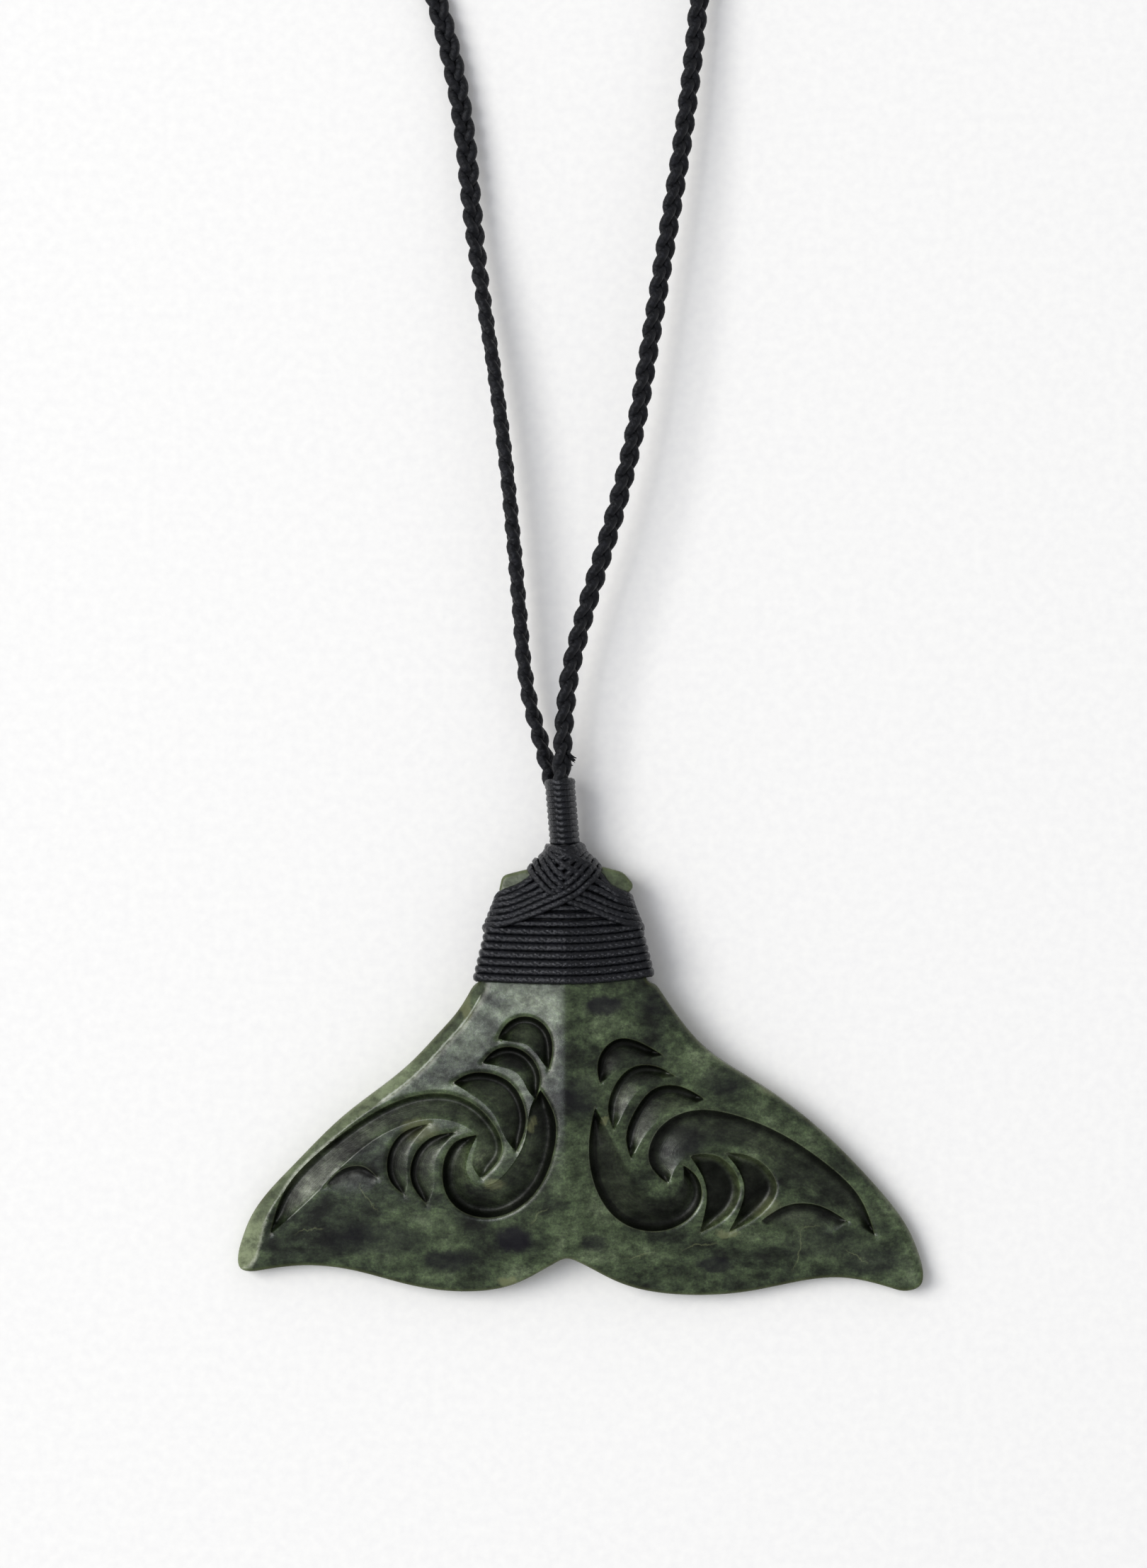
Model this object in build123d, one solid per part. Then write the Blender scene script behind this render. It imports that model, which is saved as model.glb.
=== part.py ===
from build123d import *
import math
import os

# A greenstone whale tail on a plaited neck cord, lying on its flat back.
# Millimetres, +Z up, +Y towards the neck cord. The origin is on the stone's back, under its ridge.

# The stone
tail_width = 80.0
tail_height = 50.0
ridge_height = 8.0
fluke_thickness = 3.0
fluke_dish = 0.7
edge_bevel = 0.9
bevel_stations = 12
carving_depth = 1.9
groove_depth = 0.95

# The lashing
thread = 0.9
seat_gap = 0.05
piece_gap = 0.05
saddle_rise = 3.0
neck_length = 6.6
neck_width = 3.6
neck_depth = 4.8
neck_base_height = 4.3
neck_end_height = 4.6
neck_lean = 0.55

# The neck cord
cord_diameter = 2.4

# The layout grid: 80 squares over the tail's width and 50 over its height
across = tail_width / 80
up = tail_height / 50

# Where the lashing starts, changes over and passes the ears, in rows of the grid
stem_foot = 11.5
band_end = 18.4
ear_foot = 21.8
ear_rise = 3.3
ear_top = ear_foot + ear_rise
flank_end = -21.5

# The ears, from the stem to the top: x in grid squares, and the share of ear_rise above ear_foot
left_ear_rows = [(-7.1, 0.0), (-7.85, 0.06), (-7.4, 0.67), (-4.6, 0.89), (0.0, 1.0)]
right_ear_rows = [(0.0, 1.0), (4.1, 1.0), (6.7, 0.79), (8.0, 0.33), (7.4, 0.06), (6.6, 0.0)]
left_ear = [(x, ear_foot + share * ear_rise) for x, share in left_ear_rows]
right_ear = [(x, ear_foot + share * ear_rise) for x, share in right_ear_rows]

# Outline of the stone below the ears, each run a list of grid points, clockwise
right_stem = [(6.6, ear_foot), (7.9, 18.0), (9.5, stem_foot)]
right_flank = [(10.5, 11.4), (12.8, 8.0), (16.2, 4.0), (22.1, 0.0), (30.1, -6.0), (36.0, -12.0),
               (40.4, -18.0), (41.7, -21.5)]
right_tip = [(41.7, -21.5), (41.5, -24.0), (39.4, -24.65)]
right_trailing_edge = [(39.4, -24.65), (32.2, -23.0), (22.0, -24.5), (14.0, -25.0), (6.0, -23.4),
                       (2.0, -21.3), (0.1, -20.4)]
left_trailing_edge = [(0.1, -20.4), (-2.0, -21.6), (-6.0, -23.7), (-11.5, -24.6), (-18.0, -23.9),
                      (-25.0, -22.1), (-31.5, -21.6), (-36.5, -22.3)]
left_tip = [(-36.5, -22.3), (-38.1, -22.0), (-38.35, -20.0)]
left_flank = [(-38.35, -20.0), (-36.9, -16.0), (-32.0, -10.0), (-25.9, -4.0), (-18.3, 2.0),
              (-14.5, 6.0), (-12.75, 8.0), (-10.7, 11.4)]
left_stem = [(-10.0, stem_foot), (-8.45, 18.0), (-7.1, ear_foot)]

# Rows of the face: grid y, ridge as a share of ridge_height, side as a share of fluke_thickness
face_rows = [
    (27.0, 0.70, 1.10),
    (8.0, 0.97, 1.20),
    (-8.0, 1.00, 1.15),
    (-27.0, 0.42, 0.80),
]
face_reach = 43.0

# Carved scoops: outer edge, where the wall is steep, inner edge, where the floor runs out,
# and the depth as a share of carving_depth
scoops = [
    # Left of the ridge, from the stem down
    ([(-8.0, 4.95), (-6.9, 6.8), (-4.6, 7.7), (-2.3, 6.5), (-1.5, 4.0), (-2.0, 1.35)],
     [(-2.0, 1.35), (-3.1, 2.9), (-4.5, 4.4), (-6.2, 4.75), (-8.0, 4.95)], 0.85),
    ([(-9.8, 2.2), (-8.0, 3.9), (-5.6, 3.9), (-3.7, 2.2), (-3.0, -0.2), (-3.8, -2.0)],
     [(-3.8, -2.0), (-4.7, -0.8), (-5.9, 0.9), (-7.8, 1.7), (-9.8, 2.2)], 0.85),
    ([(-13.2, -0.1), (-11.0, 1.05), (-8.4, 0.85), (-6.0, -0.8), (-4.6, -3.6), (-5.8, -7.2)],
     [(-5.8, -7.2), (-7.2, -4.9), (-9.2, -2.3), (-11.2, -1.0), (-13.2, -0.1)], 0.85),
    # Left wing, its floor wide at the curl and narrow at the tip
    ([(-34.6, -18.0), (-33.2, -13.4), (-29.0, -8.4), (-24.0, -4.6), (-18.0, -1.7), (-12.7, -1.6),
      (-8.6, -4.6), (-7.4, -8.0), (-9.9, -11.3)],
     [(-9.9, -11.3), (-10.9, -9.3), (-10.3, -6.6), (-13.0, -4.6), (-18.0, -4.7), (-24.0, -8.0),
      (-29.0, -12.9), (-34.6, -18.0)], 0.80),
    # Left curl, round the eye
    ([(-2.9, -0.8), (-1.3, -3.8), (-1.4, -8.2), (-3.6, -13.0), (-8.9, -15.9), (-13.2, -14.3),
      (-14.4, -10.3), (-12.8, -6.9), (-10.2, -6.1)],
     [(-10.2, -6.1), (-11.3, -8.4), (-11.3, -11.0), (-9.4, -12.0), (-6.9, -10.4), (-4.6, -6.0),
      (-4.0, -2.6), (-2.9, -0.8)], 1.00),
    ([(-12.7, -5.8), (-15.8, -6.5), (-17.8, -8.8), (-18.0, -11.8), (-16.2, -14.4)],
     [(-16.2, -14.4), (-15.4, -12.4), (-15.2, -9.2), (-12.7, -5.8)], 0.70),
    ([(-15.8, -4.8), (-19.0, -5.9), (-20.8, -8.8), (-20.4, -11.8), (-18.8, -13.3)],
     [(-18.8, -13.3), (-18.4, -11.2), (-18.4, -8.6), (-15.8, -4.8)], 0.65),
    ([(-28.2, -12.3), (-26.2, -10.3), (-23.6, -9.9), (-21.9, -11.3)],
     [(-21.9, -11.3), (-24.6, -12.7), (-28.2, -12.3)], 0.40),
    # Right of the ridge, from the stem down
    ([(11.4, 3.1), (8.8, 4.6), (6.2, 5.1), (4.2, 3.6), (3.65, 1.6), (4.0, -0.3)],
     [(4.0, -0.3), (5.4, 0.9), (7.2, 2.2), (9.2, 2.6), (11.4, 3.1)], 0.85),
    ([(12.9, 0.6), (10.4, 1.9), (7.6, 1.7), (5.6, -0.5), (4.9, -3.4), (5.6, -5.7)],
     [(5.6, -5.7), (6.8, -3.4), (8.4, -1.1), (10.4, 0.1), (12.9, 0.6)], 0.85),
    ([(16.3, -2.1), (13.4, -0.5), (10.6, -0.6), (8.0, -3.4), (7.0, -6.6), (7.6, -9.0)],
     [(7.6, -9.0), (8.8, -6.9), (10.9, -4.5), (13.4, -3.3), (16.3, -2.1)], 0.85),
    # Right wing
    ([(36.2, -18.2), (34.4, -13.6), (30.6, -9.6), (26.0, -6.6), (20.0, -4.2), (14.6, -3.7),
      (10.6, -6.2), (9.7, -9.4), (12.0, -12.0)],
     [(12.0, -12.0), (12.7, -10.2), (14.6, -8.2), (20.5, -7.9), (25.4, -11.2), (30.0, -13.4),
      (36.2, -18.2)], 0.80),
    # Right curl, round the eye
    ([(3.4, -2.8), (2.7, -6.6), (3.2, -11.6), (6.2, -16.2), (10.4, -17.2), (14.3, -14.6),
      (15.0, -12.0), (13.4, -9.5)],
     [(13.4, -9.5), (13.2, -12.4), (10.6, -13.2), (8.1, -10.6), (5.8, -6.8), (3.4, -2.8)], 1.00),
    ([(14.2, -8.9), (17.2, -9.4), (19.0, -12.2), (18.4, -15.6), (15.0, -17.5)],
     [(15.0, -17.5), (16.1, -15.2), (16.2, -12.4), (14.2, -8.9)], 0.70),
    ([(19.6, -8.6), (22.3, -9.6), (23.6, -12.6), (22.3, -15.4), (18.6, -17.4)],
     [(18.6, -17.4), (20.1, -15.2), (20.6, -12.4), (19.6, -8.6)], 0.65),
    ([(22.6, -16.4), (26.0, -14.4), (29.6, -14.5), (33.0, -16.4)],
     [(33.0, -16.4), (28.0, -17.4), (22.6, -16.4)], 0.40),
]

# Rows of the saddle above the ears: share of saddle_rise, left and right edges in grid squares,
# and the heights of its edges and shoulders as shares of its crown
saddle_rows = [
    (0.07, -4.7, 4.2, 0.52, 0.90),
    (0.37, -3.0, 3.2, 0.64, 0.92),
]

# Route of the neck cord from one end in the neck round to the other, in millimetres:
# x, how far above the end of the neck, and height
cord_points = [
    (-1.65, 0.35, 3.45),
    (-2.75, 4.5, 3.6),
    (-4.75, 11.3, 4.1),
    (-5.6, 23.3, 4.5),
    (-7.4, 42.3, 4.3),
    (-10.7, 63.3, 3.2),
    (-12.2, 81.3, 1.9),
    (-17.0, 98.3, 1.35),
    (-25.5, 117.3, 1.2),
    (-38.5, 137.3, 1.25),
    (-52.0, 161.3, 1.2),
    (-61.0, 189.3, 1.25),
    (-60.5, 220.3, 1.2),
    (-47.0, 249.3, 1.25),
    (-21.0, 267.3, 1.2),
    (11.0, 270.3, 1.25),
    (41.0, 258.3, 1.2),
    (60.0, 234.3, 1.25),
    (66.0, 203.3, 1.2),
    (60.0, 171.3, 1.25),
    (45.0, 143.3, 1.2),
    (27.5, 120.3, 1.5),
    (16.3, 99.8, 2.6),
    (14.4, 79.3, 4.0),
    (10.75, 57.3, 5.5),
    (7.5, 36.8, 6.1),
    (0.85, 15.8, 6.0),
    (-0.3, 7.3, 5.85),
    (-0.55, 0.1, 5.75),
]


def place(points):
    return [(x * across, y * up) for x, y in points]


def face_at(y):
    """Height of the ridge and of the far side of the face at a height up the tail"""
    rows = [(row_y * up, ridge * ridge_height, side * fluke_thickness)
            for row_y, ridge, side in face_rows]
    for (y0, ridge0, side0), (y1, ridge1, side1) in zip(rows, rows[1:]):
        if y >= y1:
            share = (y0 - y) / (y0 - y1)
            return ridge0 + share * (ridge1 - ridge0), side0 + share * (side1 - side0)
    return rows[-1][1], rows[-1][2]


def face_height(x, y):
    """Height of the uncarved face over one point of the back"""
    ridge, side = face_at(y)
    out = abs(x) / (face_reach * across)
    return ridge + (side - ridge) * out - 4 * fluke_dish * out * (1 - out)


def outline():
    """The stone seen from above, one closed face"""
    runs = [Polyline(*place(left_ear)), Polyline(*place(right_ear)),
            Polyline(*place(right_stem + right_flank[:1])),
            Spline(*place(right_flank)), ThreePointArc(*place(right_tip)),
            Spline(*place(right_trailing_edge)), Spline(*place(left_trailing_edge)),
            ThreePointArc(*place(left_tip)), Spline(*place(left_flank)),
            Polyline(*place(left_flank[-1:] + left_stem))]
    return make_face(Wire([edge for run in runs for edge in run.edges()]).edges())


def face_block(lift=0.0):
    """Everything under the uncarved face, lofted through one section for each row"""
    reach = face_reach * across
    sections = []
    for row_y, _, _ in face_rows:
        y = row_y * up
        ridge, side = face_at(y)
        middle = face_height(reach / 2, y)
        edges = [Line((-reach, y, 0), (reach, y, 0)),
                 Line((reach, y, 0), (reach, y, side + lift)),
                 ThreePointArc((reach, y, side + lift), (reach / 2, y, middle + lift),
                               (0, y, ridge + lift)),
                 ThreePointArc((0, y, ridge + lift), (-reach / 2, y, middle + lift),
                               (-reach, y, side + lift)),
                 Line((-reach, y, side + lift), (-reach, y, 0))]
        sections.append(Wire([edge for line in edges for edge in line.edges()]))
    return Solid.make_loft(sections)


def scoop_cutter(outer, inner, share):
    """A carved scoop: upright at its outer edge, its floor rising to the face at the inner one"""
    outer, inner = place(outer), place(inner)
    wall = Spline(*outer)
    run_out = Spline(*inner)
    area = make_face(Wire([wall.edge(), run_out.edge()]).edges())
    deep_x, deep_y = tuple(wall @ 0.5)[:2]
    rise_x, rise_y = tuple(run_out @ 0.5)[:2]
    deep = face_height(deep_x, deep_y) - share * carving_depth
    shallow = face_height(rise_x, rise_y)
    wide = math.hypot(rise_x - deep_x, rise_y - deep_y)
    # A long curl turns back on itself, so its floor is nearly level
    level = wall.edge().length > 4 * wide
    tilt = 0 if level else math.degrees(math.atan2(shallow - deep, wide))
    heading = math.degrees(math.atan2(rise_y - deep_y, rise_x - deep_x))
    floor = Location((deep_x, deep_y, deep), (0, 0, heading)) * Location((0, 0, 0), (0, -tilt, 0))
    size = 4 * tail_width
    above = floor * Box(size, size, ridge_height * 3, align=(Align.CENTER, Align.CENTER, Align.MIN))
    return extrude(area, ridge_height * 2) & above


def flank_wedge(points):
    """What the bevel takes off the face's edge along one flank, dying away at the tip"""
    rim = Spline(*place(points))
    sections = []
    for station in range(bevel_stations + 1):
        share = station / bevel_stations
        spot, along = rim @ share, rim % share
        inward = Vector(-along.Y, along.X, 0) * math.copysign(1, along.Y * spot.X)
        near_tip = min(1, abs(spot.Y - flank_end * up) / (4 * edge_bevel))
        wide = edge_bevel * max(near_tip, 0.1)
        rise = inward + Vector(0, 0, 1)
        low = Vector(spot.X, spot.Y, face_height(spot.X, spot.Y) - wide)
        outer, top = low - rise * wide, low + rise * 2 * wide
        sections.append(Wire(Polyline(outer, top, Vector(outer.X, outer.Y, top.Z),
                                      close=True).edges()))
    return Solid.make_loft(sections, ruled=True)


def greenstone_tail():
    stone = extrude(outline(), ridge_height * 1.5) & face_block()
    for flank in (left_flank, right_flank):
        stone = stone - flank_wedge(flank)
    foot = stem_foot * up - piece_gap
    stone = stone - Pos(0, foot, 0) * Box(tail_width, tail_height, 2 * groove_depth,
                                          align=(Align.CENTER, Align.MIN, Align.CENTER))
    for outer, inner, share in scoops:
        stone = stone - scoop_cutter(outer, inner, share)
    return stone


def stem_edges(y):
    """Where the stem's left and right edges are at a height up the tail"""
    found = []
    for run in (left_stem, right_stem):
        points = sorted(place(run), key=lambda point: point[1])
        (x0, y0), (x1, y1) = points[:2] if y < points[1][1] else points[1:]
        found.append(x0 + (y - y0) / (y1 - y0) * (x1 - x0))
    return found


def section(y, low, left, right, heights):
    """A closed section across the stem: left edge, shoulder, ridge, shoulder, right edge"""
    spots = [left, left * 0.75, (left + right) / 2 * 0.2, right * 0.75, right]
    top = [(x, y, z) for x, z in zip(spots, heights)]
    return Wire(Polyline((right, y, low), (left, y, low), *top, close=True).edges())


def stem_section(y, grow):
    """Section of the bound stem, as far outside the stone as grow"""
    left, right = stem_edges(y)
    heights = [face_height(left, y) + 0.6 * grow, face_height(left * 0.7, y) + grow,
               face_height(0, y) + grow, face_height(right * 0.7, y) + grow,
               face_height(right, y) + 0.6 * grow]
    return section(y, groove_depth - grow, left - grow, right + grow, heights)


def stem_sections(bottom, top, grow):
    knots = [y * up for _, y in left_stem if bottom < y * up < top]
    return [stem_section(y, grow) for y in [bottom, *knots, top]]


def stem_block(grow):
    """The stem and the ears, grown by a clearance, from a thread below the lashing up"""
    foot = [(x, stem_foot - thread / up) for x, _ in (right_stem[-1], left_stem[0])]
    rim = left_stem[:-1] + left_ear + right_ear[1:] + right_stem[1:] + foot
    plan = offset(make_face(Polyline(*place(rim), close=True).edges()), grow,
                  kind=Kind.INTERSECTION)
    above = Pos(0, 0, groove_depth - grow) * Box(
        tail_width, 2 * tail_height, 2 * ridge_height, align=(Align.CENTER, Align.CENTER, Align.MIN))
    return extrude(plan, ridge_height * 1.5) & face_block(grow) & above


def lashing_band():
    bottom = stem_foot * up + piece_gap
    wrap = Solid.make_loft(stem_sections(bottom, band_end * up, thread), ruled=True)
    return wrap - stem_block(seat_gap)


def neck_plane(share):
    """Plane across the whipped neck, a share of the way from its foot to its end"""
    base = ear_top * up + saddle_rise
    x = -share * neck_lean - neck_lean / 4
    height = neck_base_height + share * (neck_end_height - neck_base_height)
    return Plane((x, base + share * neck_length, height), x_dir=(1, 0, 0), z_dir=(0, 1, 0))


def lashing_saddle():
    bottom = band_end * up + piece_gap
    rows = stem_sections(bottom, ear_foot * up, thread)
    crown = face_height(0, ear_top * up) + thread
    low = groove_depth - thread
    for rise, left, right, edge, shoulder in saddle_rows:
        y = ear_top * up + rise * saddle_rise
        heights = [share * crown for share in (edge, shoulder, 1, shoulder, edge)]
        rows.append(section(y, low, left * across, right * across, heights))
        low = groove_depth
    foot = neck_plane(0).origin
    half = neck_width / 2 + thread / 4
    deep = neck_depth / 2 + thread / 4
    heights = [foot.Z + share * deep for share in (0, 0.7, 1, 0.7, 0)]
    rows.append(section(foot.Y - piece_gap, foot.Z - deep, foot.X - half, foot.X + half, heights))
    return Solid.make_loft(rows, ruled=True) - stem_block(seat_gap)


def lashing_neck():
    ends = [neck_plane(share) * Ellipse(neck_width / 2, neck_depth / 2) for share in (0, 1)]
    return loft([Sketch() + end for end in ends])


def neck_cord():
    neck_end = neck_plane(1).origin.Y
    points = [Vector(x, neck_end + y, z) for x, y, z in cord_points]
    runs = [b - a for a, b in zip(points, points[1:])]
    radii = []
    for before, after in zip(runs, runs[1:]):
        turn = math.radians(before.get_angle(after))
        radii.append(0.45 * min(before.length, after.length) / math.tan(turn / 2))
    path = FilletPolyline(*points, radius=radii)
    start = Plane(origin=path @ 0, z_dir=path % 0)
    tube = sweep(start * Circle(cord_diameter / 2), path=path)
    print("radii of the neck cord:", [round(radius, 1) for radius in radii])
    print("length of the neck cord:", round(path.length, 1), "its runs:",
          [round(run.length, 1) for run in runs])
    full = math.pi * (cord_diameter / 2) ** 2 * path.length
    print("volume over section times length:", round(tube.volume / full, 4))
    return tube


parts = {
    "greenstone_tail": greenstone_tail,
    "lashing_band": lashing_band,
    "lashing_saddle": lashing_saddle,
    "lashing_neck": lashing_neck,
    "neck_cord": neck_cord,
}

os.makedirs("parts", exist_ok=True)
for name, make in parts.items():
    solid = make()
    export_step(solid, f"parts/{name}.step")
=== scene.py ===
import math

import bpy
import numpy as np
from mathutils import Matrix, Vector, kdtree
from mathutils.bvhtree import BVHTree
from mathutils.geometry import delaunay_2d_cdt


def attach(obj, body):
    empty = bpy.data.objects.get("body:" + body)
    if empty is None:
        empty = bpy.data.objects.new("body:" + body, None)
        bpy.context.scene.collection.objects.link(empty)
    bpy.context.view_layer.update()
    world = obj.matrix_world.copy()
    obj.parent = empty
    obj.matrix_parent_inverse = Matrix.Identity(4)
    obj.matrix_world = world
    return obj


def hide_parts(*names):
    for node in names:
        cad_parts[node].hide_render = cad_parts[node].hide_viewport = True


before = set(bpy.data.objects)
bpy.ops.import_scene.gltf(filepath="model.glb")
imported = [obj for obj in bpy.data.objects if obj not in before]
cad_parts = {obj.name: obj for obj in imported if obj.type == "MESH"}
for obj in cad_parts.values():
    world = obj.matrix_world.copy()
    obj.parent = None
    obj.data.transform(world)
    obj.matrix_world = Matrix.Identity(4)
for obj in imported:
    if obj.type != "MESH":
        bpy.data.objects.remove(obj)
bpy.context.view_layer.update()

# A greenstone whale tail on a plaited cord, lying on its flat back on pale paper.
# Tables are in millimetres, as in the part's source. Meshes are in metres.
mm = 0.001

# The stone
ridge_height = 8.0
fluke_thickness = 3.0
fluke_dish = 0.7
carving_depth = 1.9
groove_depth = 0.95
ridge_softness = 0.35
edge_round = 0.28
rim_softness = 0.45
rim_wear = 0.15
rim_paleness = 0.72
bevel_top = 11.4
crest_half_width = 0.25
notch_reach = 1.8
# How pale the ears are: clearer stone, the left one on the lit side paler as painted light
left_ear_paleness = 0.45
right_ear_paleness = 0.25
outline_step = 0.4
carving_step = 0.24
face_step = 0.42
back_step = 2.4

# The lashing. A turn's three plies lie almost in one, so that it is hardly wider than a single one.
thread = 0.9
thread_pitch = 0.93
thread_plait = 2.6
ply_swing = 0.08
ply_lift = 0.03
band_ply_radius = 0.46
band_turns = 7
saddle_ply_radius = 0.37
saddle_level_turns = 3
saddle_rise = 3.0
neck_ply_swing = 0.05
neck_ply_lift = 0.02
neck_ply_radius = 0.48
neck_pitch = 0.7
neck_turns = 10
neck_length = 6.6
neck_width = 3.6
neck_depth = 4.8
neck_base_height = 4.3
neck_end_height = 4.6
neck_lean = 0.55

# The neck cord
plait_length = 7.4
plait_half_width = 0.73
plait_half_depth = 0.28
strand_radius = 0.58

# Where the lashing starts and where it passes the ears, up the stem
stem_foot = 11.5
ear_foot = 21.8
ear_rise = 3.3
ear_top = ear_foot + ear_rise

# The ears, from the stem to the top: x, and the share of ear_rise above ear_foot
left_ear_rows = [(-7.1, 0.0), (-7.85, 0.06), (-7.4, 0.67), (-4.6, 0.89), (0.0, 1.0)]
right_ear_rows = [(0.0, 1.0), (4.1, 1.0), (6.7, 0.79), (8.0, 0.33), (7.4, 0.06), (6.6, 0.0)]
left_ear = [(x, ear_foot + share * ear_rise) for x, share in left_ear_rows]
right_ear = [(x, ear_foot + share * ear_rise) for x, share in right_ear_rows]

# Outline of the stone below the ears, each run a list of x and y, clockwise
right_stem = [(6.6, ear_foot), (7.9, 18.0), (9.5, stem_foot)]
right_flank = [(10.5, 11.4), (12.8, 8.0), (16.2, 4.0), (22.1, 0.0), (30.1, -6.0), (36.0, -12.0),
               (40.4, -18.0), (41.7, -21.5)]
right_tip = [(41.7, -21.5), (41.5, -24.0), (39.4, -24.65)]
right_trailing_edge = [(39.4, -24.65), (32.2, -23.0), (22.0, -24.5), (14.0, -25.0), (6.0, -23.4),
                       (2.0, -21.3), (0.1, -20.4)]
left_trailing_edge = [(0.1, -20.4), (-2.0, -21.6), (-6.0, -23.7), (-11.5, -24.6), (-18.0, -23.9),
                      (-25.0, -22.1), (-31.5, -21.6), (-36.5, -22.3)]
left_tip = [(-36.5, -22.3), (-38.1, -22.0), (-38.35, -20.0)]
left_flank = [(-38.35, -20.0), (-36.9, -16.0), (-32.0, -10.0), (-25.9, -4.0), (-18.3, 2.0),
              (-14.5, 6.0), (-12.75, 8.0), (-10.7, 11.4)]
left_stem = [(-10.0, stem_foot), (-8.45, 18.0), (-7.1, ear_foot)]

# Rows of the face: y, ridge as a share of ridge_height, side as a share of fluke_thickness
face_rows = [
    (27.0, 0.70, 1.10),
    (8.0, 0.97, 1.20),
    (-8.0, 1.00, 1.15),
    (-27.0, 0.42, 0.80),
]
face_reach = 43.0

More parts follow.
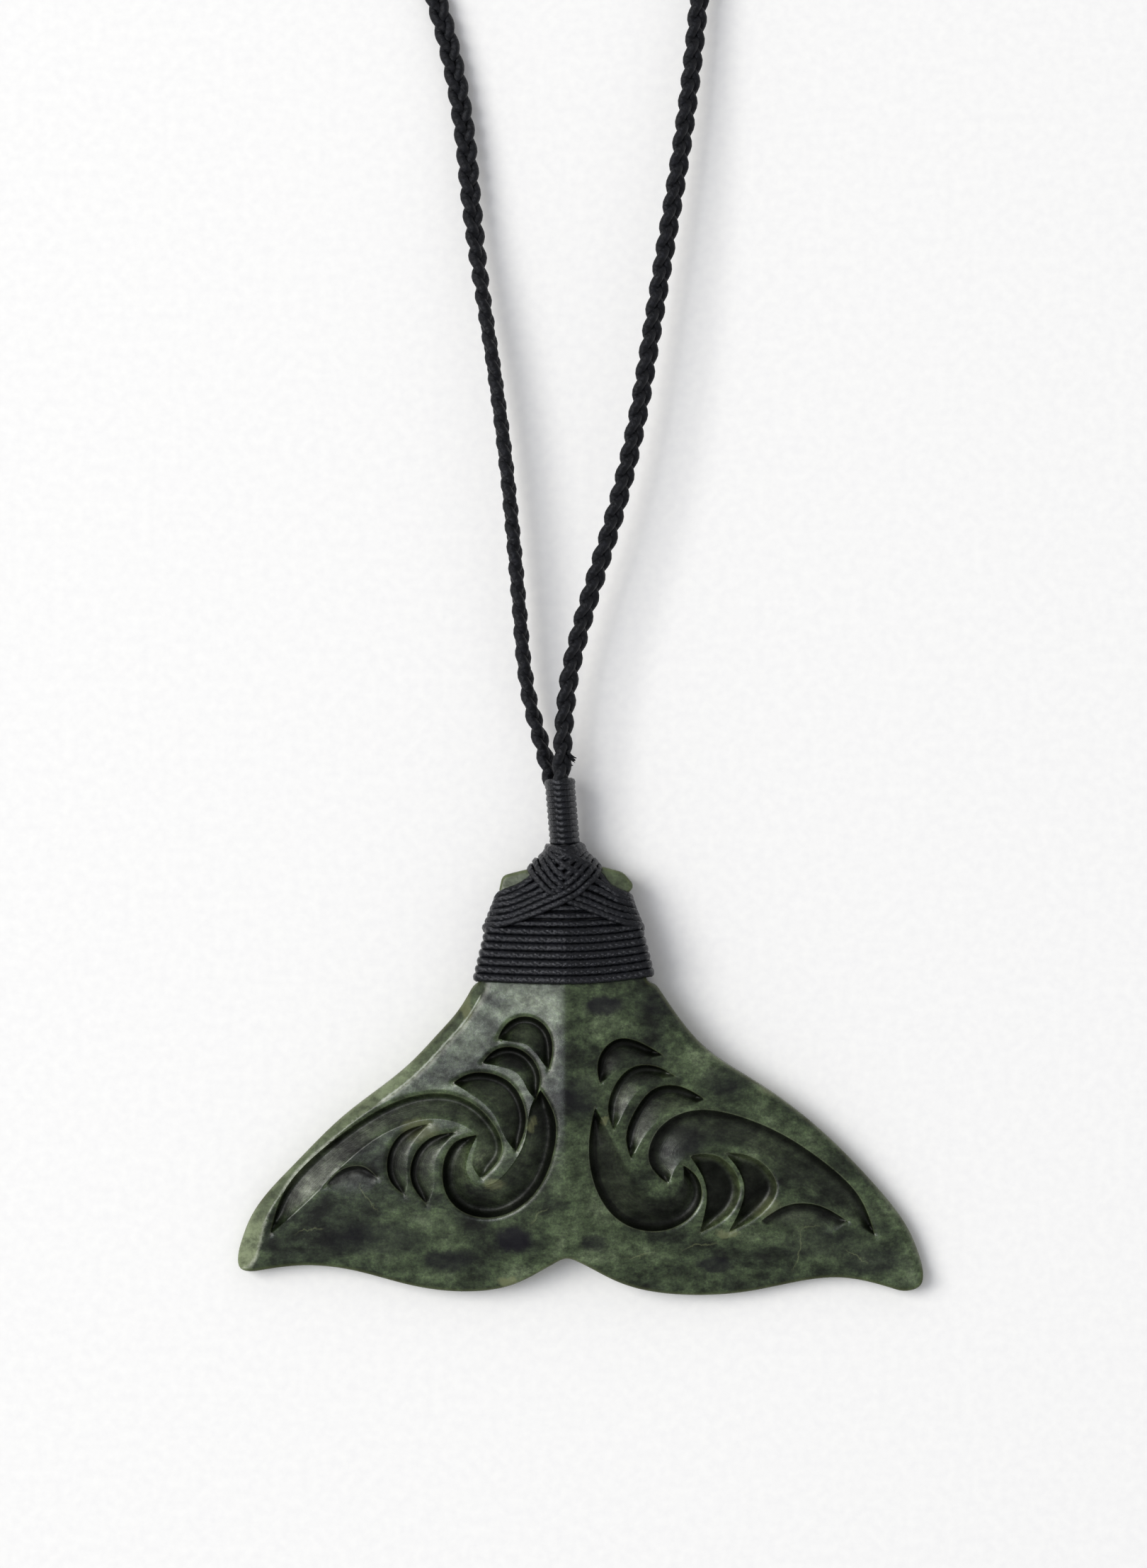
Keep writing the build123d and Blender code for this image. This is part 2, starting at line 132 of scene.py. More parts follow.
# Carved scoops: outer edge, where the wall is steep, inner edge, where the floor runs out,
# and the depth as a share of carving_depth
scoops = [
    # Left of the ridge, from the stem down
    ([(-8.0, 4.95), (-6.9, 6.8), (-4.6, 7.7), (-2.3, 6.5), (-1.5, 4.0), (-2.0, 1.35)],
     [(-2.0, 1.35), (-3.1, 2.9), (-4.5, 4.4), (-6.2, 4.75), (-8.0, 4.95)], 0.85),
    ([(-9.8, 2.2), (-8.2, 3.8), (-6.0, 4.1), (-4.0, 2.9), (-2.95, 0.4), (-3.5, -2.0)],
     [(-3.5, -2.0), (-4.4, -0.9), (-5.4, 0.9), (-7.4, 1.8), (-9.8, 2.2)], 0.85),
    ([(-13.2, -0.1), (-11.4, 0.95), (-9.0, 1.1), (-6.6, 0.1), (-5.0, -2.2), (-4.6, -4.6), (-5.8, -8.2)],
     [(-5.8, -8.2), (-7.1, -6.3), (-8.15, -4.0), (-9.8, -2.2), (-11.7, -0.95), (-13.2, -0.1)], 0.85),
    # Left wing, its floor wide at the curl and narrow at the tip
    ([(-34.6, -18.0), (-33.2, -13.4), (-29.0, -8.4), (-24.0, -4.6), (-18.0, -1.7), (-12.7, -1.6),
      (-8.6, -4.6), (-7.4, -8.0), (-9.9, -11.3)],
     [(-9.9, -11.3), (-10.9, -9.3), (-10.3, -6.6), (-13.0, -4.6), (-18.0, -4.7), (-24.0, -8.0),
      (-29.0, -12.9), (-34.6, -18.0)], 0.80),
    # Left curl, round the eye
    ([(-2.9, -0.8), (-1.3, -3.8), (-1.4, -8.2), (-3.6, -13.0), (-8.9, -15.9), (-13.2, -14.3),
      (-14.4, -10.3), (-12.8, -6.9), (-10.2, -6.1)],
     [(-10.2, -6.1), (-11.3, -8.4), (-11.3, -11.0), (-9.4, -12.0), (-6.9, -10.4), (-4.6, -6.0),
      (-4.0, -2.6), (-2.9, -0.8)], 1.00),
    ([(-12.7, -5.8), (-15.8, -6.5), (-17.8, -8.8), (-18.0, -11.8), (-16.2, -14.4)],
     [(-16.2, -14.4), (-15.4, -12.4), (-15.2, -9.2), (-12.7, -5.8)], 0.70),
    ([(-15.8, -4.8), (-19.0, -5.9), (-20.8, -8.8), (-20.4, -11.8), (-18.8, -13.3)],
     [(-18.8, -13.3), (-18.4, -11.2), (-18.4, -8.6), (-15.8, -4.8)], 0.65),
    ([(-28.2, -12.3), (-26.2, -10.3), (-23.6, -9.9), (-21.9, -11.3)],
     [(-21.9, -11.3), (-23.2, -13.6), (-26.0, -14.0), (-28.2, -12.3)], 0.40),
    # Right of the ridge, from the stem down
    ([(11.4, 3.1), (8.8, 4.6), (6.2, 5.1), (4.2, 3.6), (3.65, 1.6), (4.0, -0.3)],
     [(4.0, -0.3), (5.4, 0.9), (7.2, 2.2), (9.2, 2.6), (11.4, 3.1)], 0.85),
    ([(12.9, 0.6), (10.4, 1.9), (7.6, 1.7), (5.6, -0.5), (4.9, -3.4), (5.6, -5.7)],
     [(5.6, -5.7), (6.8, -3.4), (8.4, -1.1), (10.4, 0.1), (12.9, 0.6)], 0.85),
    ([(16.3, -2.1), (13.4, -0.5), (10.6, -0.6), (8.0, -3.4), (7.0, -6.6), (7.6, -9.0)],
     [(7.6, -9.0), (8.8, -6.9), (10.9, -4.5), (13.4, -3.3), (16.3, -2.1)], 0.85),
    # Right wing
    ([(36.2, -18.2), (34.4, -13.6), (30.6, -9.7), (26.0, -6.5), (20.0, -3.9), (14.6, -3.3),
      (10.5, -5.8), (9.7, -9.4), (12.0, -12.0)],
     [(12.0, -12.0), (12.7, -10.2), (14.6, -8.4), (20.5, -8.2), (24.6, -12.0), (30.0, -14.8),
      (36.2, -18.2)], 0.80),
    # Right curl, round the eye
    ([(3.4, -2.8), (2.7, -6.6), (3.2, -11.6), (6.2, -16.2), (10.6, -17.5), (14.6, -15.8),
      (15.9, -13.0), (15.2, -10.9), (13.6, -9.6)],
     [(13.6, -9.6), (13.2, -12.4), (10.6, -13.2), (8.1, -10.6), (5.8, -6.8), (3.4, -2.8)], 1.00),
    ([(14.4, -8.6), (17.3, -8.5), (19.4, -10.0), (20.3, -12.4), (19.4, -15.1), (15.6, -17.7)],
     [(15.6, -17.7), (16.2, -15.2), (16.4, -12.8), (15.7, -10.6), (14.4, -8.6)], 0.85),
    ([(18.5, -8.3), (21.3, -8.6), (23.7, -10.2), (24.6, -12.3), (23.4, -14.8), (18.9, -17.7)],
     [(18.9, -17.7), (20.1, -15.4), (20.8, -12.6), (20.0, -10.1), (18.5, -8.3)], 0.80),
    ([(22.6, -16.4), (26.0, -14.4), (29.6, -14.5), (33.0, -16.4)],
     [(33.0, -16.4), (30.0, -18.4), (26.0, -18.4), (22.6, -16.4)], 0.55),
]

# Route of the neck cord from one end in the neck round to the other, in millimetres:
# x, how far above the end of the neck, and height
cord_points = [
    (-1.65, 0.35, 3.45),
    (-2.75, 4.5, 3.6),
    (-4.75, 11.3, 4.1),
    (-5.6, 23.3, 4.5),
    (-7.4, 42.3, 4.3),
    (-10.7, 63.3, 3.2),
    (-12.2, 81.3, 1.9),
    (-17.0, 98.3, 1.35),
    (-25.5, 117.3, 1.2),
    (-38.5, 137.3, 1.25),
    (-52.0, 161.3, 1.2),
    (-61.0, 189.3, 1.25),
    (-60.5, 220.3, 1.2),
    (-47.0, 249.3, 1.25),
    (-21.0, 267.3, 1.2),
    (11.0, 270.3, 1.25),
    (41.0, 258.3, 1.2),
    (60.0, 234.3, 1.25),
    (66.0, 203.3, 1.2),
    (60.0, 171.3, 1.25),
    (45.0, 143.3, 1.2),
    (27.5, 120.3, 1.5),
    (16.3, 99.8, 2.6),
    (14.4, 79.3, 4.0),
    (10.75, 57.3, 5.5),
    (7.5, 36.8, 6.1),
    (0.85, 15.8, 6.0),
    (-0.3, 7.3, 5.85),
    (-0.55, 0.1, 5.75),
]

# The bevel along each flank: y, its width, and how clear and pale its stone is; the left, lit flank is paler
# as painted light
left_bevel_rows = [(11.4, 1.3, 0.1), (4.0, 1.35, 0.2), (0.5, 1.35, 0.7), (-2.5, 1.25, 0.75),
                   (-5.5, 1.2, 0.4), (-14.0, 1.5, 0.4), (-17.5, 2.1, 1.1), (-22.0, 2.4, 1.2)]
right_bevel_rows = [(11.4, 0.7, 0.0), (4.0, 0.8, 0.0), (-18.0, 0.8, 0.0), (-22.0, 0.9, 0.0)]
bevel_slope = 0.75

# How each scoop was cut, in the order of the scoops: width of its wall, how hollow its floor is,
# and how much painted shade (wax) lies beside its wall. Above 1 there is some all over the cut, and below 0
# it lies on the floor instead and the wall gets painted light.
scoop_cuts = [
    (0.85, 0.9, 1.35), (0.85, 0.9, 0.9), (0.9, 0.9, 1.4), (0.9, 0.9, 0.4),
    (1.35, 0.7, 1.0), (0.8, 1.3, 1.1), (0.8, 1.3, 0.9), (0.7, 2.8, 1.3),
    (0.9, 1.2, 1.25), (0.9, 1.2, 0.75), (1.0, 1.2, 1.35), (1.8, 1.2, 1.1),
    (1.8, 1.2, 1.65), (1.2, 0.5, -1.0), (1.2, 0.5, -0.9), (0.9, 1.6, 1.2),
]

# The padding under the turns, above the stem: y, left and right edge, low and high side of the
# edges, shoulder height and crown height
padding_rows = [
    (22.6, -5.6, 4.9, 0.83, 5.3, 6.2, 6.6),
    (23.4, -4.6, 4.2, 0.83, 5.2, 6.2, 6.7),
    (24.3, -3.9, 3.7, 0.83, 5.0, 6.2, 6.8),
    (25.2, -3.4, 3.2, 0.9, 4.9, 6.1, 6.9),
    (26.1, -2.2, 2.1, 1.5, 4.8, 6.0, 6.8),
]

# Slanted turns from the left of the stem up over the right shoulder, each the same at the back:
# x, y and how many threads it lies above the padding, from the stem to the shoulder
rising_turns = [
    [(-8.6, 17.9, 0.8), (-7.0, 18.4, 1.0), (-5.0, 19.1, 1.2), (-3.2, 19.75, 1.3), (-1.8, 20.35, 1.4),
     (-0.3, 21.0, 1.6), (1.0, 21.85, 1.6), (2.3, 23.0, 1.3), (3.25, 24.1, 0.9), (3.75, 25.1, 0.4)],
    [(-8.5, 18.65, 0.6), (-6.6, 19.2, 0.9), (-4.5, 20.0, 1.1), (-2.4, 20.9, 1.4), (-0.8, 21.65, 1.6),
     (0.5, 22.5, 1.6), (1.7, 23.5, 1.3), (2.6, 24.6, 0.9), (3.2, 25.5, 0.4)],
    [(-8.35, 19.45, 0.5), (-6.2, 20.1, 0.7), (-4.0, 21.0, 0.8), (-2.2, 21.85, 0.8), (-0.6, 22.75, 0.9),
     (0.7, 23.7, 1.0), (1.8, 24.8, 0.7), (2.6, 25.9, 0.4)],
    [(-8.2, 20.2, 0.4), (-6.1, 20.9, 0.6), (-4.0, 21.8, 0.6), (-2.2, 22.75, 0.5), (-0.5, 23.8, 0.6),
     (0.8, 24.8, 0.6), (2.1, 26.3, 0.4)],
    [(-8.05, 20.9, 0.3), (-6.2, 21.5, 0.5), (-4.4, 22.3, 0.5), (-2.7, 23.3, 0.4), (-1.0, 24.5, 0.4),
     (0.4, 25.6, 0.4), (1.8, 26.9, 0.4)],
    [(-7.9, 21.5, 0.3), (-6.5, 21.9, 0.4), (-5.1, 22.55, 0.4), (-3.7, 23.5, 0.4), (-1.9, 25.0, 0.3),
     (0.0, 26.4, 0.3), (1.6, 27.3, 0.4)],
]

# The same from the right of the stem up over the left shoulder
falling_turns = [
    [(8.6, 18.0, 0.7), (7.2, 18.35, 0.8), (5.6, 18.95, 0.9), (3.6, 19.75, 0.8), (1.6, 20.55, 0.6),
     (0.0, 21.2, 0.8), (-1.3, 21.95, 1.1), (-2.3, 22.6, 1.2), (-3.0, 23.4, 1.1), (-3.6, 24.3, 0.8),
     (-4.0, 25.0, 0.4)],
    [(8.5, 18.8, 0.5), (7.1, 19.1, 0.6), (5.2, 19.8, 0.7), (3.0, 20.7, 0.6), (1.0, 21.5, 0.6),
     (-0.4, 22.15, 1.0), (-1.4, 22.85, 1.2), (-2.2, 23.65, 1.1), (-2.8, 24.6, 0.8), (-3.3, 25.45, 0.4)],
    [(8.3, 19.55, 0.4), (7.0, 19.9, 0.5), (5.2, 20.6, 0.6), (3.4, 21.4, 0.5), (1.6, 22.15, 0.5),
     (0.1, 22.8, 0.9), (-1.0, 23.5, 1.2), (-1.75, 24.3, 1.0), (-2.3, 25.2, 0.7), (-2.65, 26.0, 0.4)],
    [(8.15, 20.3, 0.3), (7.0, 20.65, 0.4), (5.4, 21.4, 0.5), (3.8, 22.2, 0.4), (2.2, 22.95, 0.4),
     (0.7, 23.6, 0.7), (-0.5, 24.2, 1.0), (-1.3, 25.0, 0.9), (-2.2, 26.5, 0.4)],
    [(7.95, 21.0, 0.3), (6.4, 21.4, 0.4), (4.8, 22.3, 0.4), (3.3, 23.3, 0.4), (1.8, 24.1, 0.5),
     (0.4, 24.9, 0.7), (-0.8, 25.7, 0.6), (-2.0, 26.9, 0.4)],
    [(7.5, 21.55, 0.3), (6.3, 21.75, 0.3), (5.1, 22.3, 0.4), (4.2, 23.2, 0.4), (3.3, 24.3, 0.4),
     (2.0, 25.3, 0.5), (0.5, 26.1, 0.5), (-1.9, 27.3, 0.4)],
]

# The frayed end beside the neck: start and tip of each fibre, and its thickness at the start
fibres = [
    ((0.2, 38.6, 6.2), (1.1, 37.4, 5.9), 0.52), ((0.25, 38.4, 6.0), (0.95, 37.3, 5.5), 0.46),
    ((0.25, 38.5, 6.3), (1.25, 37.7, 6.2), 0.3), ((0.25, 38.2, 6.1), (1.1, 37.15, 6.1), 0.14),
    ((-0.1, 37.4, 5.9), (0.85, 36.85, 5.5), 0.3),
]

# How far the plait is turned from lying flat: share of the cord's length, degrees
plait_turns = [(0.0, 60), (0.02, 80), (0.09, 85), (0.112, 25), (0.14, 0), (0.78, 0), (0.83, -45), (1.0, -50)]


def curve_through(points, step):
    """Points every step or so along a smooth curve through the given points"""
    points = np.array(points, float)
    knots = np.concatenate([[0], np.cumsum(np.linalg.norm(np.diff(points, axis=0), axis=1))])
    gaps = np.diff(knots)
    count = len(points)
    system, right = np.eye(count), np.zeros(points.shape)
    for i in range(1, count - 1):
        system[i, i - 1:i + 2] = gaps[i - 1], 2 * (gaps[i - 1] + gaps[i]), gaps[i]
        right[i] = 6 * ((points[i + 1] - points[i]) / gaps[i] - (points[i] - points[i - 1]) / gaps[i - 1])
    bend = np.linalg.solve(system, right)
    spots = np.linspace(0, knots[-1], max(2, round(knots[-1] / step)) + 1)
    i = np.clip(np.searchsorted(knots, spots, side="right") - 1, 0, count - 2)
    before, after, gap = (spots - knots[i])[:, None], (knots[i + 1] - spots)[:, None], gaps[i][:, None]
    return ((bend[i] * after ** 3 + bend[i + 1] * before ** 3) / (6 * gap)
            + (points[i] / gap - bend[i] * gap / 6) * after
            + (points[i + 1] / gap - bend[i + 1] * gap / 6) * before)


def lines_through(points, step):
    """Points every step or so along straight lines"""
    points = np.array(points, float)
    along = np.concatenate([[0], np.cumsum(np.linalg.norm(np.diff(points, axis=0), axis=1))])
    spots = np.linspace(0, along[-1], max(2, round(along[-1] / step)) + 1)
    return np.stack([np.interp(spots, along, column) for column in points.T], axis=1)


def softened(line, width, closed):
    """The points of a line averaged over a few neighbours each side"""
    reach = max(1, int(width / 2))
    offsets = range(-reach, reach + 1)
    if closed:
        return sum(np.roll(line, -i, axis=0) for i in offsets) / len(offsets)
    ends = np.concatenate([np.repeat(line[:1], reach, axis=0), line, np.repeat(line[-1:], reach, axis=0)])
    return sum(ends[reach + i:reach + i + len(line)] for i in offsets) / len(offsets)


def unit(vectors):
    """The same vectors, one long"""
    return vectors / np.maximum(np.linalg.norm(vectors, axis=1, keepdims=True), 1e-12)


def from_line(points, line):
    """Distance from each point to a line of points, and the nearest spot on it"""
    start, along = line[:-1], np.diff(line, axis=0)
    size = np.maximum((along ** 2).sum(1), 1e-12)
    share = np.clip(((points[:, None] - start) * along).sum(2) / size, 0, 1)
    spots = start + share[:, :, None] * along
    away = np.linalg.norm(points[:, None] - spots, axis=2)
    best = away.argmin(1)
    rows = np.arange(len(points))
    return away[rows, best], spots[rows, best]


def within(points, loop):
    """Whether each point is inside a closed loop"""
    a, b = loop, np.roll(loop, -1, axis=0)
    x, y = points[:, :1], points[:, 1:]
    crosses = (a[:, 1] > y) != (b[:, 1] > y)
    rise = np.where(b[:, 1] == a[:, 1], 1e-12, b[:, 1] - a[:, 1])
    return (crosses & (x < (b[:, 0] - a[:, 0]) * (y - a[:, 1]) / rise + a[:, 0])).sum(1) % 2 == 1


def near_table(y, rows, column):
    """A column of a table at a height, read between its rows"""
    rows = sorted(rows)
    return np.interp(y, [row[0] for row in rows], [row[column] for row in rows])


# The face's rows joined into smooth curves once: y, ridge height, height of the far side
face_line = curve_through([(y, ridge * ridge_height, side * fluke_thickness)
                           for y, ridge, side in face_rows[::-1]], 0.5)


def face_height(x, y):
    """Height of the uncarved face"""
    ridge, side = (np.interp(y, face_line[:, 0], face_line[:, column]) for column in (1, 2))
    out = (np.sqrt(np.square(x) + ridge_softness ** 2) - ridge_softness) / face_reach
    return ridge + (side - ridge) * out - 4 * fluke_dish * out * (1 - out)


def outline_loop():
    """The stone's edge seen from above, clockwise, its corners a little rubbed"""
    straight = [left_ear, right_ear, right_stem + right_flank[:1]]
    curved = [right_flank, right_tip, right_trailing_edge, left_trailing_edge, left_tip, left_flank]
    runs = [lines_through(run, outline_step) for run in straight]
    runs += [curve_through(run, outline_step) for run in curved]
    runs.append(lines_through(left_flank[-1:] + left_stem, outline_step))
    loop = np.concatenate([run[:-1] for run in runs])
    rubbed = softened(softened(loop, 2, True), 2, True)
    # The ears' corners stay crisp, and the notch under the ridge is worn round
    ears = loop[:, 1] > ear_foot
    rubbed[ears] = softened(loop, 2, True)[ears]
    worn = softened(softened(rubbed, 3, True), 3, True)
    notch = np.linalg.norm(loop - np.array(left_trailing_edge[0]), axis=1) < notch_reach
    rubbed[notch] = worn[notch]
    return rubbed


def inward(loop):
    """Unit vectors pointing into a clockwise loop"""
    along = unit(np.roll(loop, -1, axis=0) - np.roll(loop, 1, axis=0))
    return np.stack([along[:, 1], -along[:, 0]], axis=1)


class Scoop:
    """One carved scoop: its wall line, the line where its floor runs out, and how it was cut"""

    def __init__(self, outer, inner, share, wall, hollow, wax):
        self.wall_line = curve_through(outer, carving_step)
        self.run_out = curve_through(inner, carving_step)
        self.loop = np.concatenate([self.wall_line[:-1], self.run_out[:-1]])
        # wax is the cut's share of painted shade
        self.depth, self.wall, self.hollow, self.wax = share * carving_depth, wall, hollow, wax
        area = np.cross(self.loop, np.roll(self.loop, -1, axis=0)).sum()
        along = unit(np.gradient(self.wall_line, axis=0))
        self.into = np.stack([-along[:, 1], along[:, 0]], axis=1) * np.sign(area)
        along = unit(np.gradient(self.run_out, axis=0))
        self.back = np.stack([-along[:, 1], along[:, 0]], axis=1) * np.sign(area)

    def beside(self, distance):
        """The wall's line moved into the scoop, without its ends"""
        return (self.wall_line + distance * self.into)[2:-2]

    def beside_end(self, distance):
        """The same for the line where the floor runs out"""
        return (self.run_out + distance * self.back)[3:-3]

    def carve(self, points):
        """Depth at each point, how far it is from the wall, and how close to the rim and to the
        sharp crest at the other side it is"""
        depth, from_wall, rim, crest = (np.zeros(len(points)) for _ in range(4))
        low, high = self.loop.min(0) - 0.5, self.loop.max(0) + 0.5
        close = np.flatnonzero(((points > low) & (points < high)).all(1))
        if not len(close):
            return depth, from_wall, rim, crest
        to_wall, _ = from_line(points[close], self.wall_line)
        to_end, _ = from_line(points[close], self.run_out)
        rim[close] = np.clip(1 - to_wall / rim_softness, 0, 1) ** 2
        crest[close] = (1 - 0.8 * self.hollow) * np.clip(1 - to_end / 0.2, 0, 1)
        held = within(points[close], self.loop)
        wide = to_wall + to_end
        share = to_wall / np.maximum(wide, 1e-6)
        slope = np.clip(to_wall / np.minimum(self.wall, 0.55 * wide + 1e-6), 0, 1)
        deep = self.depth * np.minimum(1, wide / 1.1)
        cut = deep * (1 - (1 - slope) ** 2.2) * (1 - share) ** self.hollow
        depth[close] = np.where(held, cut, 0)
        from_wall[close] = np.where(held, to_wall, 0)
        return depth, from_wall, rim, crest


scoop_list = [Scoop(*scoop, *cuts) for scoop, cuts in zip(scoops, scoop_cuts)]
flanks = [(curve_through(left_flank, 0.4), left_bevel_rows),
          (curve_through(right_flank, 0.4), right_bevel_rows)]


def surface(points):
    """Height of the finished face, and what its material goes by: share of the full carving depth,
    distance from the wall, how close to a rim or a crest, and how much painted shade the cut gets"""
    height = face_height(points[:, 0], points[:, 1])
    depth, from_wall, rim, wax, crest = (np.zeros(len(points)) for _ in range(5))
    for flank, rows in flanks:
        close = np.flatnonzero(points[:, 0] * flank[1, 0] > 0)
        away, spot = from_line(points[close], flank)
        wide = near_table(spot[:, 1], rows, 1)
        bevelled = face_height(spot[:, 0], spot[:, 1]) - bevel_slope * (wide - away)
        below = (points[close, 1] < bevel_top + 0.2) & (away < 3)
        height[close] = np.where(below, np.minimum(height[close], bevelled), height[close])
        if rows is left_bevel_rows:
            # Its sharp crest gets a painted highlight, brightest high up, that dies away under the lashing
            strong = 0.5 + 0.8 * np.clip(spot[:, 1] + 2, 0, 1)
            strong = strong * np.clip(bevel_top - spot[:, 1], 0, 1)
            crest[close] = strong * np.clip(1 - np.abs(wide - away) / crest_half_width, 0, 1) * below
    for scoop in scoop_list:
        cut, away, close, sharp = scoop.carve(points)
        # The deepest scoop at each point gives its distance from the wall and its painted shade (wax)
        from_wall = np.where(cut > depth, away, from_wall)
        wax = np.where(cut > depth, scoop.wax, wax)
        depth, rim, crest = np.maximum(depth, cut), np.maximum(rim, close), np.maximum(crest, sharp)
    return height - depth - rim_wear * rim, {"carved": depth / carving_depth, "from_wall": from_wall,
                                             "rim": np.maximum(rim_paleness * rim, crest), "wax": wax}


def hex_points(low, high, step):
    """Points of a honeycomb that fill a box"""
    rows = np.arange(low[1], high[1], step * 0.866)
    columns = np.arange(low[0], high[0], step)
    x, y = np.meshgrid(columns, rows)
    x = x + (np.arange(len(rows)) % 2)[:, None] * step / 2
    return np.stack([x.ravel(), y.ravel()], axis=1)


def nearest_in(points):
    """A tree that finds the nearest of some flat points"""
    tree = kdtree.KDTree(len(points))
    for i, (x, y) in enumerate(points):
        tree.insert((x, y, 0), i)
    tree.balance()
    return tree


def clear_of(points, others, distance):
    """The points that are further than a distance from all the others"""
    tree = nearest_in(others)
    return np.array([point for point in points if tree.find((point[0], point[1], 0))[2] > distance])


def joined_up(loops, lines, free):
    """Triangles between closed loops, open lines and free points: coordinates, faces, and where
    the first loop's points are"""
    points, edges = [], []
    for line in loops + lines:
        first = len(points)
        points += [Vector(point) for point in line]
        edges += [(i, i + 1) for i in range(first, len(points) - 1)]
        if any(line is loop for loop in loops):
            edges.append((len(points) - 1, first))
    points += [Vector(point) for point in free]
    found, _, faces, origins, _, _ = delaunay_2d_cdt(points, edges, [], 1, 1e-5)
    place = {source: i for i, sources in enumerate(origins) for source in sources}
    return np.array(found), faces, [place[i] for i in range(len(loops[0]))]


def new_mesh(name, points, faces, smooth=True):
    """A mesh from points in millimetres"""
    mesh = bpy.data.meshes.new(name)
    mesh.from_pydata((np.asarray(points) * mm).tolist(), [], [list(face) for face in faces])
    mesh.validate()
    if smooth:
        mesh.shade_smooth()
    return mesh


def point_attribute(mesh, name, kind, values):
    """Stores a value or a vector at each point of a mesh"""
    field = mesh.attributes.new(name, kind, "POINT").data
    field.foreach_set("vector" if kind == "FLOAT_VECTOR" else "value", np.asarray(values, float).ravel())


def new_object(name, shape, material=None):
    """An object at the origin, of a mesh, a curve, a lamp or a camera"""
    made = bpy.data.objects.new(name, shape)
    bpy.context.collection.objects.link(made)
    if material:
        shape.materials.clear()
        shape.materials.append(material)
    return made


def back_level(points):
    """Height of the stone's back, which steps up where the lashing is let in"""
    return groove_depth * np.clip((points[:, 1] - stem_foot) / 0.1 + 0.5, 0, 1)


def stone_mesh():
    """The carved stone: fine triangles on the face, a softened edge all round and a plain back"""
    loop = outline_loop()
    into = inward(loop)
    top_loop = loop + edge_round * into
    lines = [lines_through([(0, 24.6), (0, -20.0)], face_step)]
    for flank, rows in flanks:
        along = unit(np.gradient(flank, axis=0))
        side = np.stack([-along[:, 1], along[:, 0]], axis=1)
        side *= -np.sign((side * flank).sum(1, keepdims=True))
        inner = flank + side * near_table(flank[:, 1], rows, 1)[:, None]
        lines.append(inner[(inner[:, 1] < 11) & (inner[:, 1] > -20.5)])
    free = []
    for scoop in scoop_list:
        lines += [scoop.wall_line, scoop.run_out, scoop.beside(0.12), scoop.beside(0.3)]
        lines += [scoop.beside_end(-0.1), scoop.beside_end(0.1)]
        free += [scoop.beside(-share * rim_softness) for share in (0.3, 0.65, 1.0)]
        free += [scoop.beside(share * scoop.wall) for share in (0.55, 0.8, 1.0)]
        held = hex_points(scoop.loop.min(0), scoop.loop.max(0), carving_step)
        free.append(held[within(held, scoop.loop)])
    free.append(hex_points(loop.min(0), loop.max(0), face_step))
    fixed = np.concatenate([top_loop] + lines)
    kept = fixed
    for group in free:
        group = group[within(group, top_loop)]
        group = clear_of(group, kept, 0.55 * carving_step)
        if len(group):
            kept = np.concatenate([kept, group])
    top, faces, rim = joined_up([top_loop], lines, kept[len(fixed):])
    height, fields = surface(top)
    points = [np.column_stack([top, height])]
    faces = [tuple(face) for face in faces]

    # The edge, ring by ring from the face down to the back
    soft = edge_round
    back_loop = loop + 1.2 * soft * into
    foot = back_level(back_loop)
    edge_height = surface(loop)[0]
    rings = [(0.3 * soft, edge_height - 0.3 * soft), (0, edge_height - soft),
             (0, (edge_height + foot) / 2), (0, foot + 1.2 * soft), (0.35 * soft, foot + 0.35 * soft)]
    upper, count = list(rim), len(top)
    for inset, level in rings:
        points.append(np.column_stack([loop + inset * into, level]))
        lower = list(range(count, count + len(loop)))
        count += len(loop)
        for i in range(len(loop)):
            j = (i + 1) % len(loop)
            faces.append((upper[i], upper[j], lower[j], lower[i]))
        upper = lower

    # The back, with the step where the lashing is let in
    step_rows = []
    for y, way in ((stem_foot - 0.05, -1), (stem_foot + 0.05, 1)):
        ends = []
        for side in (-1, 1):
            near = back_loop[(back_loop[:, 0] * side > 0) & ((back_loop[:, 1] - y) * way > 0)]
            ends.append(near[np.argmin(np.abs(near[:, 1] - y))])
        inner = lines_through([(ends[0][0] + 0.6, y), (ends[1][0] - 0.6, y)], 0.8)
        step_rows.append(np.concatenate([ends[:1], inner, ends[1:]]))
    spread = hex_points(loop.min(0), loop.max(0), back_step)
    spread = clear_of(spread[within(spread, back_loop)], np.concatenate([back_loop] + step_rows), 0.5)
    back, back_faces, back_rim = joined_up([back_loop], step_rows, spread)
    points.append(np.column_stack([back, back_level(back)]))
    faces += [tuple(count + i for i in reversed(face)) for face in back_faces]
    lower = [count + i for i in back_rim]
    for i in range(len(loop)):
        j = (i + 1) % len(loop)
        faces.append((upper[i], upper[j], lower[j], lower[i]))

    points = np.concatenate(points)
    mesh = new_mesh("greenstone", points, faces)
    edge_tree = nearest_in(loop)
    rest = np.zeros(len(points) - len(top))
    clear = np.zeros(len(points))
    for flank, rows in flanks:
        close = np.flatnonzero((points[:, 0] * flank[1, 0] > 0) & (points[:, 1] < 14))
        away, spot = from_line(points[close, :2], flank)
        wide = near_table(spot[:, 1], rows, 1)
        past = np.clip((wide + crest_half_width - away) / 0.4, 0, 1)
        clear[close] = near_table(spot[:, 1], rows, 2) * past
    clear[points[:, 1] > ear_foot] = left_ear_paleness
    clear[(points[:, 1] > ear_foot) & (points[:, 0] > 0)] = right_ear_paleness
    point_attribute(mesh, "clear", "FLOAT", clear)
    for name, values in fields.items():
        point_attribute(mesh, name, "FLOAT", np.concatenate([values, rest]))
    point_attribute(mesh, "from_edge", "FLOAT",
                    [edge_tree.find((x, y, 0))[2] if z > 1 else 0 for x, y, z in points])
    mesh.set_sharp_from_angle(angle=math.radians(50))
    return mesh


# Materials

